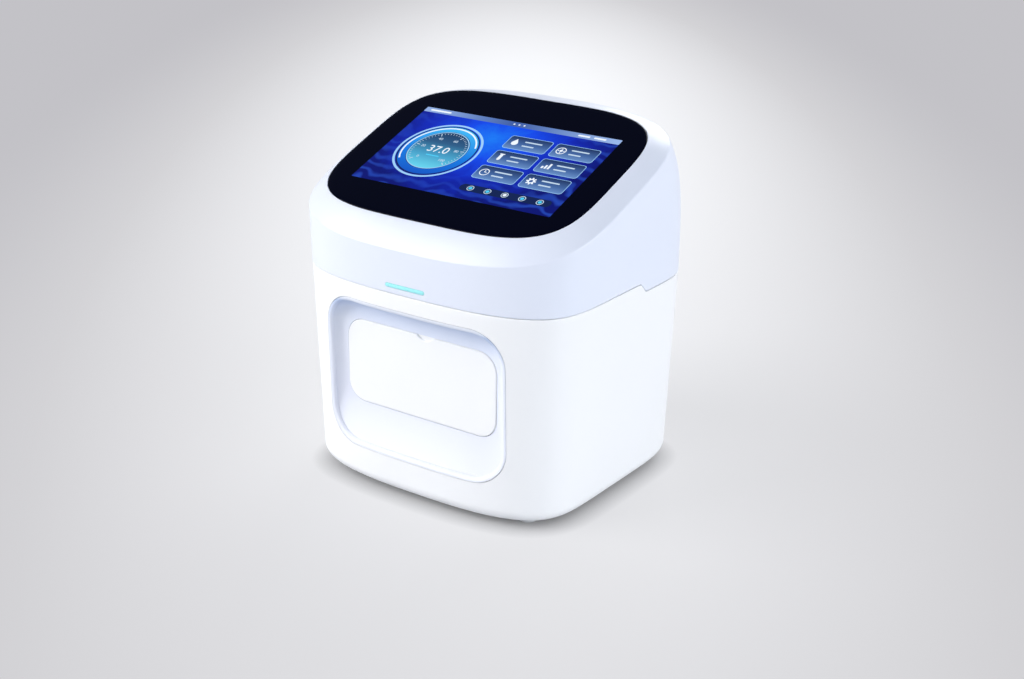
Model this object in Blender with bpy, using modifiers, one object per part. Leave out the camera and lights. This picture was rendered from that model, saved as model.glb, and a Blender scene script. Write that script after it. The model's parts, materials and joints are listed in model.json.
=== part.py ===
"""Bench biochemistry analyzer: a hinged display lid on a tub housing with a disc drawer.

Metres, +Z up, front towards -Y. The origin is the middle of the footprint, at table level.
"""

import math

import bmesh
import bpy
import numpy as np
from mathutils import Matrix, Vector

# General clearances
FIT = 0.0003
RUNNING_FIT = 0.00008
WELD = 0.000001
OVERCUT = 0.004

# Lower housing: a drafted tub with a rounded outline
FOOT_HEIGHT = 0.0027
HOUSING_HEIGHT = 0.138
HOUSING_HALF_WIDTH = 0.103
HOUSING_HALF_DEPTH = 0.0955
OUTLINE_POWER_X = 2.8
OUTLINE_POWER_Y = 6.0
SIDE_DRAFT_SHARE = 0.030
END_DRAFT_SHARE = 0.027
HOUSING_WALL = 0.0025
BOTTOM_ROUND = 0.010
BOTTOM_FLANGE = 0.040
BOTTOM_STEPS = 3
OUTLINE_POINTS = 64
INNER_POINTS = 40
FINE_STEPS = 2880
BEND_WEIGHT_SHARE = 0.5

# Seam between the housings, lower behind a short ramp on the sides
SEAM_GAP = 0.0004
SEAM_STEP = 0.0065
SEAM_RAMP_START = 0.0125

# Display lid: seam outline carried up to a crease, then a bevelled rim round the glass
SLOPE = math.radians(21.0)
DISPLAY_RISE = 0.0703
CREASE_SIDE_FLARE = 0.0055
CREASE_OVERHANG = 0.0012
CREASE_SETBACK = 0.0223
CREASE_POWER_X = 2.8
CREASE_POWER_Y = 4.0
CREASE_DROP = 0.0088
CREASE_SHIFT = 0.0010
RIM_WIDTH = 0.0117
RIM_DEPTH = 0.0189
RIM_CROWN = 0.0009
GLASS_POWER = 4.0
GLASS_THICKNESS = 0.0018
FRONT_FLARE_POWER = 0.6
REAR_LEAN_POWER = 5.0
LID_WALL = 0.0025
LEDGE_WIDTH = 0.0042
LEDGE_THICKNESS = 0.0018
LID_RISE_SHARES = (0.0, 0.15, 0.42, 0.72, 0.9, 1.0)
LID_INNER_SHARES = (1.0, 0.84, 0.48, 0.0)
RIM_SHARES = (0.45, 1.0)

# Lid hinge at the rear, inside the wall
HINGE_RADIUS = 0.0090
HINGE_EYE_RADIUS = 0.0044
HINGE_PIN_RADIUS = 0.0020
HINGE_SPACING = 0.060
HINGE_PLATE = 0.0032
HINGE_REACH = 0.025
HINGE_SETBACK = 0.018
HINGE_FOOT_LENGTH = 0.017
HINGE_FOOT_WIDTH = 0.012
HINGE_FOOT_THICKNESS = 0.0020
SWING_CLEARANCE = 0.00025
SWING_STATIONS = 15
LINER_THICKNESS = 0.0022
LINER_RISE = 0.0111
EYE_SIDES = 18

# Display parts under the glass
LCD_SIDE_MARGIN = 0.0143
LCD_END_MARGIN = 0.0221
LCD_THICKNESS = 0.0050
BRACKET_MARGIN = 0.0075
BRACKET_THICKNESS = 0.0012
BRACKET_FLANGE = 0.0060
DISPLAY_BOARD_WIDTH = 0.110
DISPLAY_BOARD_DEPTH = 0.040
BOARD_THICKNESS = 0.0016
CHIP_WIDTH = 0.014
CHIP_HEIGHT = 0.0015
SPEAKER_RADIUS = 0.0140
SPEAKER_HEIGHT = 0.0050
SPEAKER_INSET = 0.0410
SPEAKER_BACK = 0.0475

# Status light in the front of the lid
LIGHT_WIDTH = 0.030
LIGHT_HEIGHT = 0.0028
LIGHT_DEPTH = 0.0040
LIGHT_RISE = 0.0055
LIGHT_PROUD = 0.0002

# Front recess with its ramp, and the drawer opening at its floor
RECESS_DROP = 0.0105
RECESS_SILL = 0.0247
RECESS_SIDE = 0.0325
RECESS_CORNER = 0.024
RECESS_DEPTH = 0.0145
RECESS_LIP = 0.0032
LIP_STEPS = 2
RECESS_TOP_POWER = 5.0
RECESS_RAMP_POWER = 1.25
BEZEL_WALL = 0.0018
BEZEL_FLANGE = 0.0045
BEZEL_SLEEVE = 0.0025
SCOOP_SHARES = (0.12, 0.3, 0.55, 0.78, 1.0)

# Drawer front and the drawer behind it
PANEL_DROP = 0.0188
RAMP_HEIGHT = 0.0282
PANEL_SIDE = 0.0117
PANEL_CORNER = 0.0130
PANEL_THICKNESS = 0.0032
PANEL_PROUD = 0.0006
PANEL_GAP = 0.0006
PANEL_EDGE = 0.0006
NOTCH_HALF_WIDTH = 0.0065
NOTCH_DEPTH = 0.0030
NOTCH_SHIFT = 0.0040
TRAY_SIDE_GAP = 0.0034
TRAY_BACK_GAP = 0.0030
TRAY_THICKNESS = 0.0025
TRAY_DROP = 0.0158
TRAY_RIB_WIDTH = 0.0020
TRAY_RIB_HEIGHT = 0.0060
TRAY_RIB_INSET = 0.0030
TRAY_FRONT_HEIGHT = 0.0160
TRAY_HUB_RADIUS = 0.0065
RAIL_LIP = 0.0020
RAIL_LIP_THICKNESS = 0.0014

# Turntable and its motor
TURNTABLE_SIDE_GAP = 0.0060
TURNTABLE_DEPTH_SHARE = 0.3534
TURNTABLE_FIT_POWER = 12.0
TURNTABLE_FRONT_GAP = 0.0092
TURNTABLE_THICKNESS = 0.0030
TURNTABLE_RIM_HEIGHT = 0.0080
TURNTABLE_RIM_WIDTH = 0.0018
TURNTABLE_HUB_RADIUS = 0.0110
TURNTABLE_HUB_HEIGHT = 0.0090
TURNTABLE_RIBS = 4
TURNTABLE_RIB_WIDTH = 0.0020
TURNTABLE_RIB_HEIGHT = 0.0065
TURNTABLE_LIFT = 0.0010
KNOB_RADIUS = 0.0085
KNOB_HEIGHT = 0.0050
KNOB_FLUTES = 6
KNOB_FLUTE_RADIUS = 0.0014
SPINDLE_RADIUS = 0.0025
SPINDLE_MOTOR_RADIUS = 0.0160
SPINDLE_MOTOR_HEIGHT = 0.0085
ROUND_STEPS = 28

# Rack, pinion and the drawer's gear motor
GEAR_MODULE = 0.00125
PINION_TEETH = 14
PINION_WIDTH = 0.0060
RACK_BODY = 0.0022
RACK_HALF_WIDTH = 0.0030
RACK_INSET = 0.0090
RACK_LEAD = 0.0100
RACK_TAIL = 0.0166
PINION_BACK = 0.0200
MESH_BACKLASH = 0.00012
TOOTH_DEPTH_SHARE = 1.0
ROOT_DEPTH_SHARE = 1.25
PRESSURE_ANGLE = math.radians(20.0)
GEAR_MOTOR_RADIUS = 0.0100
GEAR_MOTOR_LENGTH = 0.0200
GEAR_SHAFT_RADIUS = 0.0018
SHAFT_HOLE_RADIUS = 0.0034

# Base plate, inner frame and inner deck
BASE_PLATE_THICKNESS = 0.0020
BASE_PLATE_INSET = 0.0080
VENT_COUNT = 6
VENT_PITCH = 0.0090
VENT_WIDTH = 0.0035
VENT_LENGTH = 0.040
FRAME_SIDE_GAP = 0.0060
FRAME_SHEET = 0.0015
FRAME_FRONT_GAP = 0.0067
FRAME_REAR_GAP = 0.0035
FRAME_FLANGE = 0.0090
FRAME_DECK_DROP = 0.0272
FRAME_WINDOW_LENGTH = 0.070
FRAME_WINDOW_HEIGHT = 0.026
DECK_THICKNESS = 0.0022
DECK_DROP = 0.0108
DECK_FRONT_INSET = 0.0098
DECK_FRONT_SHARES = (-0.5, 0.3)
DECK_WINDOW_MARGIN = 0.0130
DECK_BRIDGE = 0.0065
DECK_WINDOW_CORNER = 0.012
DECK_POST_RADIUS = 0.0040
DECK_POST_INSET = 0.0095
DECK_POST_FRONT = 0.0200
DECK_POST_REAR = 0.0184
CORNER_STEPS = 5
EDGE_STEPS = 4

# Optics and heater
READING_SHARE = 0.8375
PHOTOMETER_WIDTH = 0.046
PHOTOMETER_DEPTH_SHARE = 0.3035
PHOTOMETER_HEIGHT = 0.018
BARREL_SHARE = 1 / 6
BARREL_BELOW = 0.0027
LAMP_RADIUS = 0.0052
LAMP_LENGTH = 0.0260
LAMP_FINS = 4
LAMP_FIN_RADIUS = 0.0066
LAMP_FIN_THICKNESS = 0.0014
DETECTOR_WIDTH = 0.034
DETECTOR_DEPTH = 0.030
HEATER_EDGE = 0.0010
HEATER_BORE_SHARE = 5 / 12
HEATER_THICKNESS = 0.0030
HEATER_GAP = 0.0070
HEATER_POST_RADIUS = 0.0025
HEATER_POSTS = 3

# Electronics on the base plate
MAIN_BOARD_SIDE_GAP = 0.0060
MAIN_BOARD_FRONT_GAP = 0.0060
MAIN_BOARD_DEPTH = 0.068
MAIN_BOARD_RISE = 0.0060
SUPPLY_WIDTH = 0.050
SUPPLY_HEIGHT = 0.034
SUPPLY_GAP = 0.0020
SUPPLY_REAR_GAP = 0.0070
SUPPLY_SIDE_GAP = 0.0070
SUPPLY_EDGE = 0.0012
STANDOFF_RADIUS = 0.0030
HEAT_SINK_WIDTH = 0.026
HEAT_SINK_HEIGHT = 0.010
HEAT_SINK_FINS = 5
CONNECTOR_WIDTH = 0.020
CONNECTOR_HEIGHT = 0.008

# Rear panel and what is mounted in it
REAR_RISE = 0.0180
REAR_CORNER = 0.0100
REAR_DEPTH = 0.0115
REAR_LIP = 0.0016
REAR_INSET = 0.0040
REAR_SIDE_MARGIN = 0.0030
REAR_END_MARGIN = 0.0090
FITTING_GAP = 0.0018
FITTING_ROW_GAP = 0.0195
FAN_SIZE = 0.050
FAN_DEPTH = 0.0100
FAN_FRAME_EDGE = 0.0022
FAN_TIP_GAP = 0.0010
FAN_HUB_RADIUS = 0.0095
FAN_BLADES = 7
FAN_BLADE_THICKNESS = 0.0010
FAN_BLADE_SHARES = (0.0, 0.35, 0.7, 1.0)
FAN_ROOT_PITCH = math.radians(52.0)
FAN_TWIST = math.radians(24.0)
FAN_CHORD_SHARE = 0.72
FAN_CHORD_GAIN = 0.22
FAN_SPOKE_WIDTH = 0.0030
FAN_SPOKE_DEPTH = 0.0018
GRILLE_SLOTS = 8
GRILLE_BAR_SHARE = 0.36
INLET_WIDTH = 0.0270
INLET_HEIGHT = 0.0200
INLET_DEPTH = 0.0150
INLET_FLANGE = 0.0030
INLET_LIP = 0.0016
INLET_SOCKET_SHARE = 0.80
BLADE_WIDTH = 0.0020
BLADE_HEIGHT = 0.0050
BLADE_PITCH = 0.0070
SWITCH_WIDTH = 0.0130
SWITCH_HEIGHT = 0.0210
SWITCH_DEPTH = 0.0120
SWITCH_WALL = 0.0014
SWITCH_GAP = 0.0005
ROCKER_TILT = math.radians(8.0)
ROCKER_DEPTH = 0.0060
ROCKER_DISH = 0.0014
ROCKER_FOOT_SHARE = 0.8
PIVOT_RADIUS = 0.0015
PORT_WIDTH = 0.0145
PORT_HEIGHT = 0.0070
PORT_DEPTH = 0.0120
PORT_WALL = 0.0007
PORT_TONGUE = 0.0020
NETWORK_WIDTH = 0.0160
NETWORK_HEIGHT = 0.0135

# Feet
FOOT_RADIUS = 0.0075
FOOT_CHAMFER = 0.0008
FOOT_SIDE_INSET = 0.0310
FOOT_END_INSET = 0.0315

# Heights and depths that follow from the sizes above
BODY_BASE = FOOT_HEIGHT + FIT
SEAM = BODY_BASE + HOUSING_HEIGHT
REAR_SEAM = SEAM - SEAM_STEP
LID_BASE = REAR_SEAM + SEAM_GAP
BASE_PLATE_BOTTOM = BODY_BASE + HOUSING_WALL + FIT
BASE_PLATE_TOP = BASE_PLATE_BOTTOM + BASE_PLATE_THICKNESS
FRAME_DECK_TOP = SEAM - FRAME_DECK_DROP
FRAME_DECK_UNDER = FRAME_DECK_TOP - FRAME_SHEET
FRAME_FLANGE_BOTTOM = BASE_PLATE_TOP + FIT
DECK_TOP = SEAM - DECK_DROP
OPTICS_BASE = FRAME_DECK_TOP + FIT
LINER_BASE = SEAM + LINER_RISE

# Lid outlines, measured along the slope of the glass
CREASE_HALF_WIDTH = HOUSING_HALF_WIDTH + CREASE_SIDE_FLARE
CREASE_HALF_DEPTH = (HOUSING_HALF_DEPTH + (CREASE_OVERHANG - CREASE_SETBACK) / 2) / math.cos(SLOPE)
GLASS_HALF_WIDTH = CREASE_HALF_WIDTH - RIM_WIDTH
GLASS_HALF_DEPTH = CREASE_HALF_DEPTH - RIM_DEPTH
DISPLAY_BACK = ((CREASE_SETBACK + CREASE_OVERHANG) / 2 + CREASE_DROP * math.sin(SLOPE)
                - CREASE_SHIFT * math.cos(SLOPE))
DISPLAY_CENTRE = Vector((0, -DISPLAY_BACK, SEAM + DISPLAY_RISE))
DISPLAY_UP = Vector((0, -math.sin(SLOPE), math.cos(SLOPE)))
LCD_HALF_WIDTH = GLASS_HALF_WIDTH - LCD_SIDE_MARGIN
LCD_HALF_DEPTH = GLASS_HALF_DEPTH - LCD_END_MARGIN

# Recess, drawer opening and drawer
RECESS_TOP = SEAM - RECESS_DROP
RECESS_HEIGHT = HOUSING_HEIGHT - RECESS_DROP - RECESS_SILL
RECESS_HALF_WIDTH = HOUSING_HALF_WIDTH - RECESS_SIDE
RECESS_MIDDLE = RECESS_TOP - RECESS_HEIGHT / 2
RECESS_FLOOR = RECESS_DEPTH - HOUSING_HALF_DEPTH
PANEL_TOP = RECESS_TOP - PANEL_DROP
PANEL_HEIGHT = RECESS_HEIGHT - PANEL_DROP - RAMP_HEIGHT
PANEL_HALF_WIDTH = RECESS_HALF_WIDTH - PANEL_SIDE
PANEL_MIDDLE = PANEL_TOP - PANEL_HEIGHT / 2
PANEL_FACE = RECESS_FLOOR - PANEL_PROUD
PANEL_BACK = PANEL_FACE + PANEL_THICKNESS
REAR_FLOOR = HOUSING_HALF_DEPTH - REAR_DEPTH
REAR_BACK = REAR_FLOOR - BEZEL_WALL
FAN_FRONT = REAR_BACK - FIT - FAN_DEPTH
TRAY_HALF_WIDTH = PANEL_HALF_WIDTH + PANEL_GAP - TRAY_SIDE_GAP
TRAY_BASE = PANEL_MIDDLE - TRAY_DROP
TRAY_TOP = TRAY_BASE + TRAY_THICKNESS
TRAY_FRONT = PANEL_BACK + FIT
TRAY_REAR = FAN_FRONT - TRAY_BACK_GAP
FRAME_HALF_WIDTH = TRAY_HALF_WIDTH + FRAME_SIDE_GAP + FRAME_SHEET
FRAME_FRONT = RECESS_FLOOR + BEZEL_WALL + BEZEL_SLEEVE + FRAME_FRONT_GAP
FRAME_BACK = FAN_FRONT - FRAME_REAR_GAP

# Turntable, heater and optics, stacked over the tray
SIDE_ROOM = TRAY_HALF_WIDTH - TURNTABLE_SIDE_GAP
DEPTH_ROOM = (TRAY_REAR - TRAY_FRONT) * TURNTABLE_DEPTH_SHARE
ROOM_SHARE = (SIDE_ROOM ** -TURNTABLE_FIT_POWER + DEPTH_ROOM ** -TURNTABLE_FIT_POWER)
TURNTABLE_RADIUS = ROOM_SHARE ** (-1 / TURNTABLE_FIT_POWER)
SPIN_Y = TRAY_FRONT + TURNTABLE_FRONT_GAP + TURNTABLE_RADIUS
TURNTABLE_BASE = TRAY_TOP + TURNTABLE_LIFT
HEATER_BASE = TURNTABLE_BASE + TURNTABLE_HUB_HEIGHT + FIT + KNOB_HEIGHT + HEATER_GAP
HEATER_TOP = HEATER_BASE + HEATER_THICKNESS
HEATER_OUTER_RADIUS = TURNTABLE_RADIUS - HEATER_EDGE
HEATER_INNER_RADIUS = TURNTABLE_RADIUS * HEATER_BORE_SHARE
BARREL_RADIUS = TURNTABLE_RADIUS * BARREL_SHARE
OPTICS_Y = SPIN_Y + TURNTABLE_RADIUS * READING_SHARE
PHOTOMETER_DEPTH = (FRAME_BACK - FRAME_FRONT) * PHOTOMETER_DEPTH_SHARE

# Drive: pinion under the rack, the rack under the tray's right side
PITCH_RADIUS = GEAR_MODULE * PINION_TEETH / 2
TOOTH_PITCH = math.pi * GEAR_MODULE
TIP_DEPTH = GEAR_MODULE * TOOTH_DEPTH_SHARE
ROOT_DEPTH = GEAR_MODULE * ROOT_DEPTH_SHARE
RACK_TEETH = math.floor((TRAY_REAR - TRAY_FRONT - RACK_LEAD - RACK_TAIL) / TOOTH_PITCH)
RACK_PITCH_LINE = TRAY_BASE - FIT - RACK_BODY - ROOT_DEPTH
RACK_X = TRAY_HALF_WIDTH - RACK_INSET
PINION_Y = TRAY_FRONT + PINION_BACK
PINION_Z = RACK_PITCH_LINE - PITCH_RADIUS - MESH_BACKLASH

# Boards and supply between the frame's sides
MAIN_BOARD_WIDTH = 2 * (FRAME_HALF_WIDTH - FRAME_SHEET - MAIN_BOARD_SIDE_GAP)
MAIN_BOARD_Y = FRAME_FRONT + MAIN_BOARD_FRONT_GAP + MAIN_BOARD_DEPTH / 2
SUPPLY_FRONT = MAIN_BOARD_Y + MAIN_BOARD_DEPTH / 2 + SUPPLY_GAP
SUPPLY_REAR = REAR_FLOOR - INLET_DEPTH - SUPPLY_REAR_GAP
SUPPLY_LEFT = FRAME_SHEET + SUPPLY_SIDE_GAP - FRAME_HALF_WIDTH

# Rear panel: fittings side by side, then the fan
FAN_BORE_RADIUS = FAN_SIZE / 2 - FAN_FRAME_EDGE
FAN_BLADE_RADIUS = FAN_BORE_RADIUS - FAN_TIP_GAP
INLET_SPAN = INLET_WIDTH + 2 * INLET_FLANGE
SWITCH_SPAN = SWITCH_WIDTH + 2 * SWITCH_WALL
FITTING_SPAN = INLET_SPAN + SWITCH_SPAN + FAN_SIZE + 2 * FITTING_GAP
REAR_HALF_WIDTH = FITTING_SPAN / 2 + REAR_SIDE_MARGIN + REAR_INSET
REAR_HEIGHT = FAN_SIZE + 2 * (REAR_INSET + REAR_END_MARGIN)
REAR_MIDDLE = BODY_BASE + REAR_RISE + REAR_HEIGHT / 2
INLET_X = (INLET_SPAN - FITTING_SPAN) / 2
SWITCH_X = INLET_X + (INLET_SPAN + SWITCH_SPAN) / 2 + FITTING_GAP
FAN_X = (FITTING_SPAN - FAN_SIZE) / 2
NETWORK_X = FAN_X - (FAN_SIZE + NETWORK_WIDTH) / 2 - FITTING_GAP
PORT_RIGHT_X = NETWORK_X - (NETWORK_WIDTH + PORT_WIDTH) / 2 - 2 * FITTING_GAP
PORT_LEFT_X = PORT_RIGHT_X - PORT_WIDTH - 2 * FITTING_GAP
LOW_ROW = REAR_MIDDLE - FITTING_ROW_GAP
HIGH_ROW = LOW_ROW + (SWITCH_HEIGHT + NETWORK_HEIGHT) / 2 + FITTING_ROW_GAP - FITTING_GAP

# How a flat outline's two directions and its thickness lie in the model
PLANE_XY = Matrix.Identity(4)
PLANE_XZ = Matrix(((1, 0, 0, 0), (0, 0, -1, 0), (0, 1, 0, 0), (0, 0, 0, 1)))
PLANE_YZ = Matrix(((0, 0, 1, 0), (1, 0, 0, 0), (0, 1, 0, 0), (0, 0, 0, 1)))
DISPLAY_PLANE = Matrix.Translation(DISPLAY_CENTRE) @ Matrix.Rotation(SLOPE, 4, "X")

# Colour, roughness and metallic value of each finish
WHITE_SHELL = ("white_shell", (0.93, 0.94, 0.96), 0.34, 0.0)
PALE_SHELL = ("pale_shell", (0.84, 0.87, 0.94), 0.36, 0.0)
BEZEL_SHELL = ("bezel_shell", (0.80, 0.84, 0.93), 0.40, 0.0)
BLACK_GLASS = ("black_glass", (0.005, 0.006, 0.014), 0.07, 0.0)
LIGHT_PIPE = ("light_pipe", (0.42, 0.88, 0.90), 0.25, 0.0)
DARK_PLASTIC = ("dark_plastic", (0.03, 0.03, 0.035), 0.45, 0.0)
GREY_PLASTIC = ("grey_plastic", (0.34, 0.36, 0.39), 0.50, 0.0)
RUBBER = ("rubber", (0.03, 0.03, 0.03), 0.80, 0.0)
SHEET_STEEL = ("sheet_steel", (0.60, 0.62, 0.64), 0.38, 1.0)
BARE_STEEL = ("bare_steel", (0.55, 0.56, 0.58), 0.28, 1.0)
ALUMINIUM = ("aluminium", (0.74, 0.75, 0.77), 0.36, 1.0)
CIRCUIT_BOARD = ("circuit_board", (0.02, 0.16, 0.08), 0.42, 0.0)
NATURAL_PLASTIC = ("natural_plastic", (0.82, 0.82, 0.78), 0.45, 0.0)


def clear_scene():
    """Remove whatever the file held before."""
    for thing in list(bpy.data.objects):
        bpy.data.objects.remove(thing, do_unlink=True)


def new_collection(name):
    """Make a collection in the scene."""
    group = bpy.data.collections.new(name)
    bpy.context.scene.collection.children.link(group)
    return group


def material(name, finish):
    """Principled material with one piece's colour, roughness and metallic value."""
    label, colour, roughness, metallic = finish
    paint = bpy.data.materials.new(f"{name}_{label}")
    paint.use_nodes = True
    shader = paint.node_tree.nodes["Principled BSDF"]
    shader.inputs["Base Color"].default_value = (*colour, 1)
    shader.inputs["Roughness"].default_value = roughness
    shader.inputs["Metallic"].default_value = metallic
    paint.diffuse_color = (*colour, 1)
    return paint


clear_scene()
PARTS = new_collection("biochemistry_analyzer")
CUTTERS = new_collection("cutters")


def place(name, mesh, finish, pose=None):
    """Put a mesh in the scene as a part, or as a cutter where it has no finish."""
    thing = bpy.data.objects.new(name, mesh)
    thing.matrix_world = pose if pose is not None else Matrix.Identity(4)
    if finish is None:
        CUTTERS.objects.link(thing)
        thing.display_type = "WIRE"
        thing.hide_render = True
        return thing
    PARTS.objects.link(thing)
    mesh.materials.append(material(name, finish))
    mesh.shade_smooth()
    mesh.set_sharp_from_angle(angle=math.radians(32))
    return thing


def mesh_from(name, work):
    """Turn an edited mesh into mesh data with its faces pointing out."""
    bmesh.ops.recalc_face_normals(work, faces=work.faces)
    mesh = bpy.data.meshes.new(name)
    work.to_mesh(mesh)
    work.free()
    return mesh


def block(name, low, high, finish=None, edge=0.0, pose=None):
    """Box between two corners, its origin at its middle, its edges rounded by a bevel."""
    low, high = Vector(low), Vector(high)
    work = bmesh.new()
    bmesh.ops.create_cube(work, size=1)
    bmesh.ops.scale(work, vec=high - low, verts=work.verts)
    base = pose if pose is not None else Matrix.Identity(4)
    thing = place(name, mesh_from(name, work), finish, base @ Matrix.Translation((low + high) / 2))
    if edge:
        bevel(thing, edge)
    return thing


def bevel(thing, width, segments=2):
    """Round a piece's sharp edges."""
    step = thing.modifiers.new("edges", "BEVEL")
    step.width = width
    step.segments = segments
    step.limit_method = "ANGLE"
    step.angle_limit = math.radians(40)


def rod(name, start, end, radius, finish=None, sides=EYE_SIDES):
    """Round bar between two points."""
    start, end = Vector(start), Vector(end)
    work = bmesh.new()
    bmesh.ops.create_cone(work, cap_ends=True, segments=sides, radius1=radius, radius2=radius,
                          depth=(end - start).length)
    turn = Vector((0, 0, 1)).rotation_difference(end - start).to_matrix().to_4x4()
    pose = Matrix.Translation((start + end) / 2) @ turn
    return place(name, mesh_from(name, work), finish, pose)


def prism(name, loops, plane, low, high, finish=None, edge=0.0):
    """Flat outline, with its holes, pulled square to its plane from one level to another."""
    curve = bpy.data.curves.new(name, "CURVE")
    curve.dimensions = "2D"
    curve.fill_mode = "BOTH"
    curve.extrude = (high - low) / 2
    for loop in loops:
        spline = curve.splines.new("POLY")
        spline.points.add(len(loop) - 1)
        for point, (across, up) in zip(spline.points, loop):
            point.co = (across, up, 0, 1)
        spline.use_cyclic_u = True
    flat = bpy.data.objects.new(name + "_outline", curve)
    bpy.context.scene.collection.objects.link(flat)
    graph = bpy.context.evaluated_depsgraph_get()
    mesh = bpy.data.meshes.new_from_object(flat.evaluated_get(graph))
    bpy.data.objects.remove(flat)
    work = bmesh.new()
    work.from_mesh(mesh)
    bpy.data.meshes.remove(mesh)
    bmesh.ops.remove_doubles(work, verts=work.verts, dist=WELD)
    level = Matrix.Translation((0, 0, (low + high) / 2))
    thing = place(name, mesh_from(name, work), finish, plane @ level)
    if edge:
        bevel(thing, edge)
    return thing


def turned(name, profile, centre, finish=None, steps=ROUND_STEPS, pose=None):
    """Turned piece: a profile of radius and height, read down its outer side, swept round Z."""
    mesh = bpy.data.meshes.new(name)
    points = [(radius, 0, height) for radius, height in profile]
    mesh.from_pydata(points, [(i, i + 1) for i in range(len(points) - 1)], [])
    base = pose if pose is not None else Matrix.Identity(4)
    thing = place(name, mesh, finish, base @ Matrix.Translation(Vector(centre)))
    sweep = thing.modifiers.new("sweep", "SCREW")
    sweep.steps = steps
    sweep.render_steps = steps
    sweep.use_merge_vertices = True
    sweep.merge_threshold = WELD
    sweep.use_smooth_shade = False
    return thing


def loft(name, rings, finish=None, ends="cap", pose=None):
    """Skin through rings of matching points; its ends are capped, or joined into a loop."""
    rings = np.asarray(rings, dtype=float)
    levels, count, _ = rings.shape
    work = bmesh.new()
    corners = [[work.verts.new(point) for point in ring] for ring in rings.tolist()]
    spans = levels if ends == "loop" else levels - 1
    for level in range(spans):
        here, there = corners[level], corners[(level + 1) % levels]
        for i in range(count):
            j = (i + 1) % count
            work.faces.new((here[i], here[j], there[j], there[i]))
    if ends == "cap":
        work.faces.new(corners[0][::-1])
        work.faces.new(corners[-1])
    return place(name, mesh_from(name, work), finish, pose)


def combine(thing, tool, how):
    """Cut a tool from a piece, or join it on."""
    step = thing.modifiers.new(how.lower(), "BOOLEAN")
    step.operation = how
    step.solver = "EXACT"
    step.object = tool
    return thing


def cut(thing, *tools):
    """Take the tools' space out of a piece."""
    for tool in tools:
        combine(thing, tool, "DIFFERENCE")
    return thing


def join(thing, *tools):
    """Make the tools part of a piece."""
    for tool in tools:
        combine(thing, tool, "UNION")
    return thing


def pivot(name, centre):
    """Empty on a joint's axis, which the moving pieces are parented to."""
    empty = bpy.data.objects.new(name, None)
    empty.location = centre
    empty.empty_display_size = HINGE_RADIUS
    PARTS.objects.link(empty)
    return empty


def carry(empty, *pieces):
    """Parent pieces to a pivot without moving them."""
    for piece in pieces:
        piece.parent = empty
        piece.matrix_parent_inverse = Matrix.Translation(-Vector(empty.location))


def circle(centre, radius, sides=EYE_SIDES):
    """Points round a circle in a flat outline's plane."""
    turns = [math.tau * i / sides for i in range(sides)]
    return [(centre[0] + radius * math.cos(a), centre[1] + radius * math.sin(a)) for a in turns]


def round_outline(half_x, half_y, power_x, power_y, count=OUTLINE_POINTS):
    """Points on |x/half_x|^power_x + |y/half_y|^power_y = 1, set closer where it turns."""
    angle = np.linspace(0, math.tau, FINE_STEPS + 1)
    cosine, sine = np.cos(angle), np.sin(angle)
    x = half_x * np.sign(cosine) * np.abs(cosine) ** (2 / power_x)
    y = half_y * np.sign(sine) * np.abs(sine) ** (2 / power_y)
    run = np.hypot(np.diff(x), np.diff(y))
    heading = np.unwrap(np.arctan2(np.diff(y), np.diff(x)))
    bend = np.abs(np.diff(heading, append=heading[0] + math.tau))
    pace = run / run.sum() + BEND_WEIGHT_SHARE * bend / bend.sum()
    reach = np.concatenate(([0.0], np.cumsum(pace)))
    stops = np.linspace(0, reach[-1], count, endpoint=False)
    return np.stack((np.interp(stops, reach, x), np.interp(stops, reach, y)), axis=1)


def round_rectangle(half_x, half_y, corner, corner_steps=CORNER_STEPS, edge_steps=EDGE_STEPS):
    """Rounded rectangle with the same number of points on every corner and edge."""
    points = []
    for quarter, (sx, sy) in enumerate(((1, 1), (-1, 1), (-1, -1), (1, -1))):
        centre = np.array((sx * (half_x - corner), sy * (half_y - corner)))
        turns = math.pi / 2 * (quarter + np.arange(corner_steps + 1) / corner_steps)
        arc = centre + corner * np.stack((np.cos(turns), np.sin(turns)), axis=1)
        points.extend(arc.tolist())
        after = ((-1, 1), (-1, -1), (1, -1), (1, 1))[quarter]
        next_centre = np.array((after[0] * (half_x - corner), after[1] * (half_y - corner)))
        begin = next_centre + corner * np.array((math.cos(turns[-1]), math.sin(turns[-1])))
        for step in range(1, edge_steps):
            points.append((arc[-1] + (begin - arc[-1]) * step / edge_steps).tolist())
    return np.array(points)


def housing_outline(height, inset=0.0, count=OUTLINE_POINTS):
    """Housing section at a height, narrowing downwards by its draft."""
    drop = SEAM - height
    half_x = HOUSING_HALF_WIDTH - SIDE_DRAFT_SHARE * drop - inset
    half_y = HOUSING_HALF_DEPTH - END_DRAFT_SHARE * drop - inset
    flat = round_outline(half_x, half_y, OUTLINE_POWER_X, OUTLINE_POWER_Y, count)
    return np.column_stack((flat, np.full(len(flat), height)))


def housing_reach(x, z, inset=0.0):
    """How far the housing's front or rear face stands from the middle, at x and z."""
    drop = SEAM - z
    half_x = HOUSING_HALF_WIDTH - SIDE_DRAFT_SHARE * drop - inset
    half_y = HOUSING_HALF_DEPTH - END_DRAFT_SHARE * drop - inset
    share = np.clip(1 - np.abs(x / half_x) ** OUTLINE_POWER_X, 0, 1)
    return half_y * share ** (1 / OUTLINE_POWER_Y)


def display_ring(half_x, half_y, power_x, power_y, shift, drop):
    """Rounded outline in a plane parallel to the glass, a given drop below its face."""
    flat = round_outline(half_x, half_y, power_x, power_y)
    along = flat[:, 1] + shift
    centre = np.array(DISPLAY_CENTRE) - drop * np.array(DISPLAY_UP)
    x = centre[0] + flat[:, 0]
    y = centre[1] + along * math.cos(SLOPE)
    z = centre[2] + along * math.sin(SLOPE)
    return np.stack((x, y, z), axis=1)


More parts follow.
